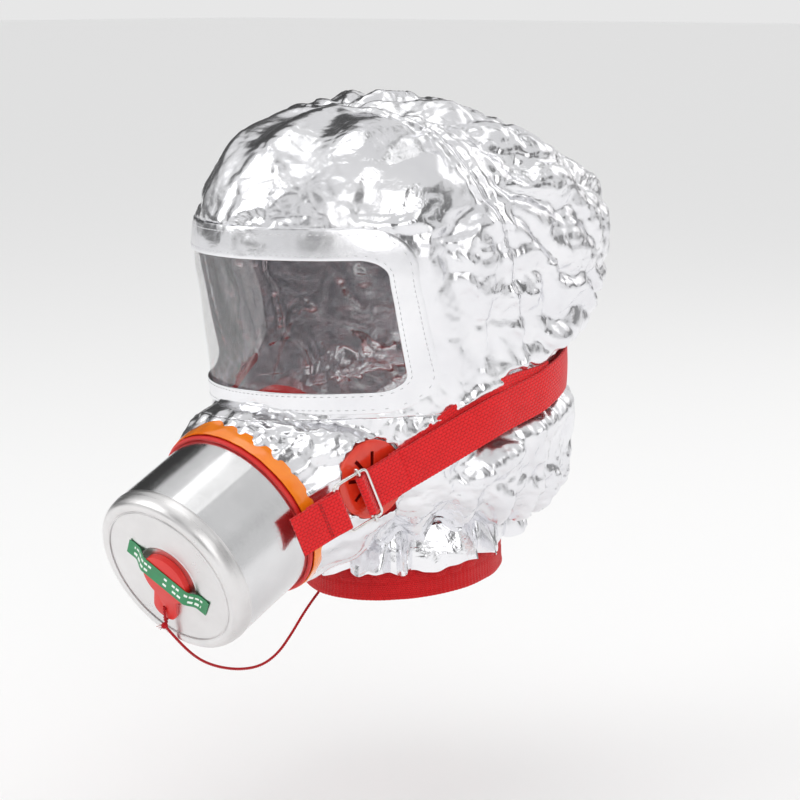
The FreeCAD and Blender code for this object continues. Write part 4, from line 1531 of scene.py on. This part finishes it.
def makeBuckles():
    bend = 1.0 + 0.25 + 0.75
    flat = 0.85
    over = [(-web["tab"], flat), (-24, flat), (-web["stitch"], flat), (-bend - 2, bend * 0.8)]
    under = [(-bend - 2, -bend * 0.8), (-web["stitch"], -flat), (-2 * web["stitch"], -flat)]
    tab = localStrap("leftStrapTab", over + arcPoints(0, 0, bend, 90, -90, 8) + under, 0.1)
    bothSides(tab, "StrapTab", "root", materials["webbing"], "_strap_tab")

    x, wrap = web["slider"], 0.9 + 0.15 + 0.75
    farX, clear = web["bar"], 1.0 + 0.3 + 0.75
    cross = math.degrees(math.asin((wrap + clear) / (farX - x)))
    under = -clear - 1.5 - 0.3
    end = x + web["wrap"]
    line = [(end, -clear), (farX + 12, -clear), (farX + 4, -clear)]
    line += arcPoints(farX, 0, clear, 270, 270 - cross, 4)
    line += arcPoints(x, 0, wrap, 90 - cross, 275, 8)
    line += [(farX, under + 0.1), (farX + 4, under), (farX + 12, under), (end, under)]
    loose = localStrap("leftStrapEnd", line, 0.05)
    bothSides(loose, "StrapEnd", "SIDE_slider", materials["webbing"], "_strap_end")

    # the tail lies under the main strap and shows above its edge
    start = x + web["wrap"] - 4
    raw = [inBuckle(start, 0, -5.6) / mm, inBuckle(start + 8, 0, -5.4) / mm]
    for turn in (74, 82, 90, 98):
        raw.append(hoodAt(rowOf(strapHeight(turn)), turn, strap["proud"] - 2.1))
    tailLine, length = smoothLine(raw, 120)
    tailLine = [p * mm for p in tailLine]
    up = Vector((0, 0, 1))
    base = buckleAcross if buckleAcross.z > 0 else -buckleAcross
    acrosses = [base.lerp(up, smoothStep(0, 30, i)).normalized() for i in range(len(tailLine))]
    tail = strapPiece(
        "leftStrapTail", tailLine, acrosses, length * mm, 0.3,
        lambda s: 8.5 * smoothStep(0.02, 0.35, s) * smoothStep(1.25, 0.55, s),
    )
    bentWebbing(tail, "StrapTail", "SIDE_strap_tail")

    places = []
    for shift in (0, 1):
        for i in range(10):
            spot = inBuckle(-web["stitch"] - 1.5 - 1.2 * shift, (i - 4.5) * 2.35 + 0.8 * shift, 1.75)
            places.append((spot, buckleAcross, buckleOut))
    thread = stitchPiece("leftTabThread", places, 0.32 * mm, 2.0 * mm)
    other = mirrorPiece(thread, "rightTabThread")
    for piece in (thread, other):
        finished(piece, "root", materials["string"])
    for side in ("left", "right"):
        frameBar = softened(side + "_buckle_frame", side + "BuckleFrame", 0)
        finished(frameBar, side + "_buckle", materials["wire"], [side + "_buckle_frame"])


# pull string
cord = {
    "strands": 3,
    "pitch": 5.0,
    "outer": [
        (-14, -200.2, -0.8), (-13, -188, -15), (-13, -173, -27.5), (-13, -157, -35.4), (-14, -138, -41.3),
        (-15, -119, -43.5), (-16, -103, -39.5), (-16, -91, -30), (-17, -79, -19.5), (-18, -68, -11.5),
        (-18, -60, -5.8), (-18, -55.5, 3.5), (-18, -54, 13),
    ],
    "inner": [
        (-18, -54, 13), (-18, -52.4, 23), (-16, -54.5, 35), (-12, -61.5, 48), (-8, -74, 52.5),
        (-5, -85.5, 46.5), (-3, -97, 41.5), (-1, -110.5, 43.5), (0, -122, 50.3),
    ],
    "frays": 7,
    "samples": 280,
}


def routePoints(name, route):
    # the route's own smooth line
    data = bpy.data.curves.new(name, "CURVE")
    data.dimensions = "3D"
    spline = data.splines.new("NURBS")
    spline.points.add(len(route) - 1)
    for point, spot in zip(spline.points, route):
        point.co = [value * mm for value in spot] + [1]
    spline.order_u = 3
    spline.use_endpoint_u = True
    spline.resolution_u = 24
    guide = bpy.data.objects.new(name, data)
    bpy.context.scene.collection.objects.link(guide)
    mesh = bpy.data.meshes.new_from_object(guide)
    points = [v.co.copy() for v in mesh.vertices]
    bpy.data.objects.remove(guide)
    return points


def strandPiece(name, path, radius, shift, pitch, phase):
    line, length = smoothLine([p / mm for p in path], cord["samples"])
    line = [p * mm for p in line]
    count = len(line) - 1
    sideways = Vector((1, 0, 0))
    frames = []
    for i in range(count + 1):
        along = (line[min(i + 1, count)] - line[max(i - 1, 0)]).normalized()
        sideways = (sideways - along * sideways.dot(along)).normalized()
        frames.append((sideways, along.cross(sideways)))

    def spot(u, v):
        i = min(int(round(u * count)), count)
        side, up = frames[i]
        turn = 2 * math.pi * (length * u / pitch) + phase
        centre = line[i] + (side * math.cos(turn) + up * math.sin(turn)) * shift * mm
        angle = 2 * math.pi * v
        return centre + (side * math.cos(angle) + up * math.sin(angle)) * radius * mm

    piece = gridPiece(name, (count, 7), (length * mm, 0.004), spot, True)
    closeHoles(piece)
    faceOut(piece)
    return piece


def makeString(name, route, node):
    path = routePoints(name + "Guide", route)
    strands = []
    for k in range(cord["strands"]):
        phase = 2 * math.pi * k / cord["strands"]
        strands.append(strandPiece(name, path, 0.52, 0.46, cord["pitch"], phase))
    piece = joined(strands, name)
    smoothAll(piece)
    finished(piece, None, materials["string"], [node])
    return piece, path


def makeKnot(name, path, node, body):
    # a few turns of cord round the end, with frayed ends
    start = path[0]
    along = (path[3] - path[0]).normalized()
    side = along.cross(Vector((0, 0, 1))).normalized()
    up = along.cross(side)
    centre = start - along * 1.4 * mm
    parts = []
    for k, (tilt, size) in enumerate(((0.5, 1.9), (-0.6, 2.0), (1.5, 1.8))):
        loop = []
        for i in range(25):
            angle = 2 * math.pi * i / 24
            across = side * math.cos(tilt) + along * math.sin(tilt)
            loop.append(centre + (across * math.cos(angle) + up * math.sin(angle)) * size * 0.62 * mm)
        parts.append(strandPiece(name, loop, 0.95, 0.0, 6.0, k))
    for k in range(cord["frays"]):
        spread = Vector((random.uniform(-1, 1), random.uniform(-0.4, 0.4), random.uniform(-1.3, 0.1)))
        tip = centre + (-along * 0.8 + spread * 0.8).normalized() * random.uniform(3.2, 5.4) * mm
        bend = centre.lerp(tip, 0.5) + Vector((random.uniform(-1, 1), 0, random.uniform(-1, 1))) * 0.7 * mm
        parts.append(strandPiece(name, [centre, bend, tip], 0.16, 0.0, 6.0, 0))
    knot = joined(parts, name)
    smoothAll(knot)
    return finished(knot, body, materials["string"], [node])


def makeTabLoop():
    # the cord's loop through the plug's tab, from the knot up to the hole and round the tip
    reach = [
        (-14, -36, 11.0), (-13.4, -31, 10.6), (-12.2, -27, 10.2), (-11.5, -24, 9.6), (-11.4, -23.4, 7.6),
    ]
    behind = [(-14, -36, 11.0), (-14.6, -33.6, 9.0), (-14.4, -32, 7.2), (-13.8, -30.8, 6.9)]
    parts = []
    for route in (reach, behind):
        path = [fromCan(x, up, -out) for x, up, out in route]
        for phase in (0, math.pi):
            parts.append(strandPiece("tabLoop", path, 0.5, 0.42, 4.0, phase))
    loop = joined(parts, "tabLoop")
    smoothAll(loop)
    return finished(loop, "front_plug", materials["string"])


def makeStrings():
    outer, outerPath = makeString("outerString", cord["outer"], "string_outer")
    outerKnot = makeKnot("frontKnot", outerPath, "string_knot", "front_plug")
    tabLoop = makeTabLoop()
    inner, innerPath = makeString("innerString", cord["inner"], "string_inner")
    innerKnot = makeKnot("rearKnot", innerPath[::-1], "rear_knot", "rear_plug")
    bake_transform(outer)
    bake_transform(inner)


makeWindow()
print("window ready")
makeNeck()
print("neck ready")
makeCan()
makeLabel()
print("can ready")
makeMask()
print("mask and valves ready")
makeHeadStrap()
makeBuckles()
print("straps ready")
makeStrings()
print("string ready")
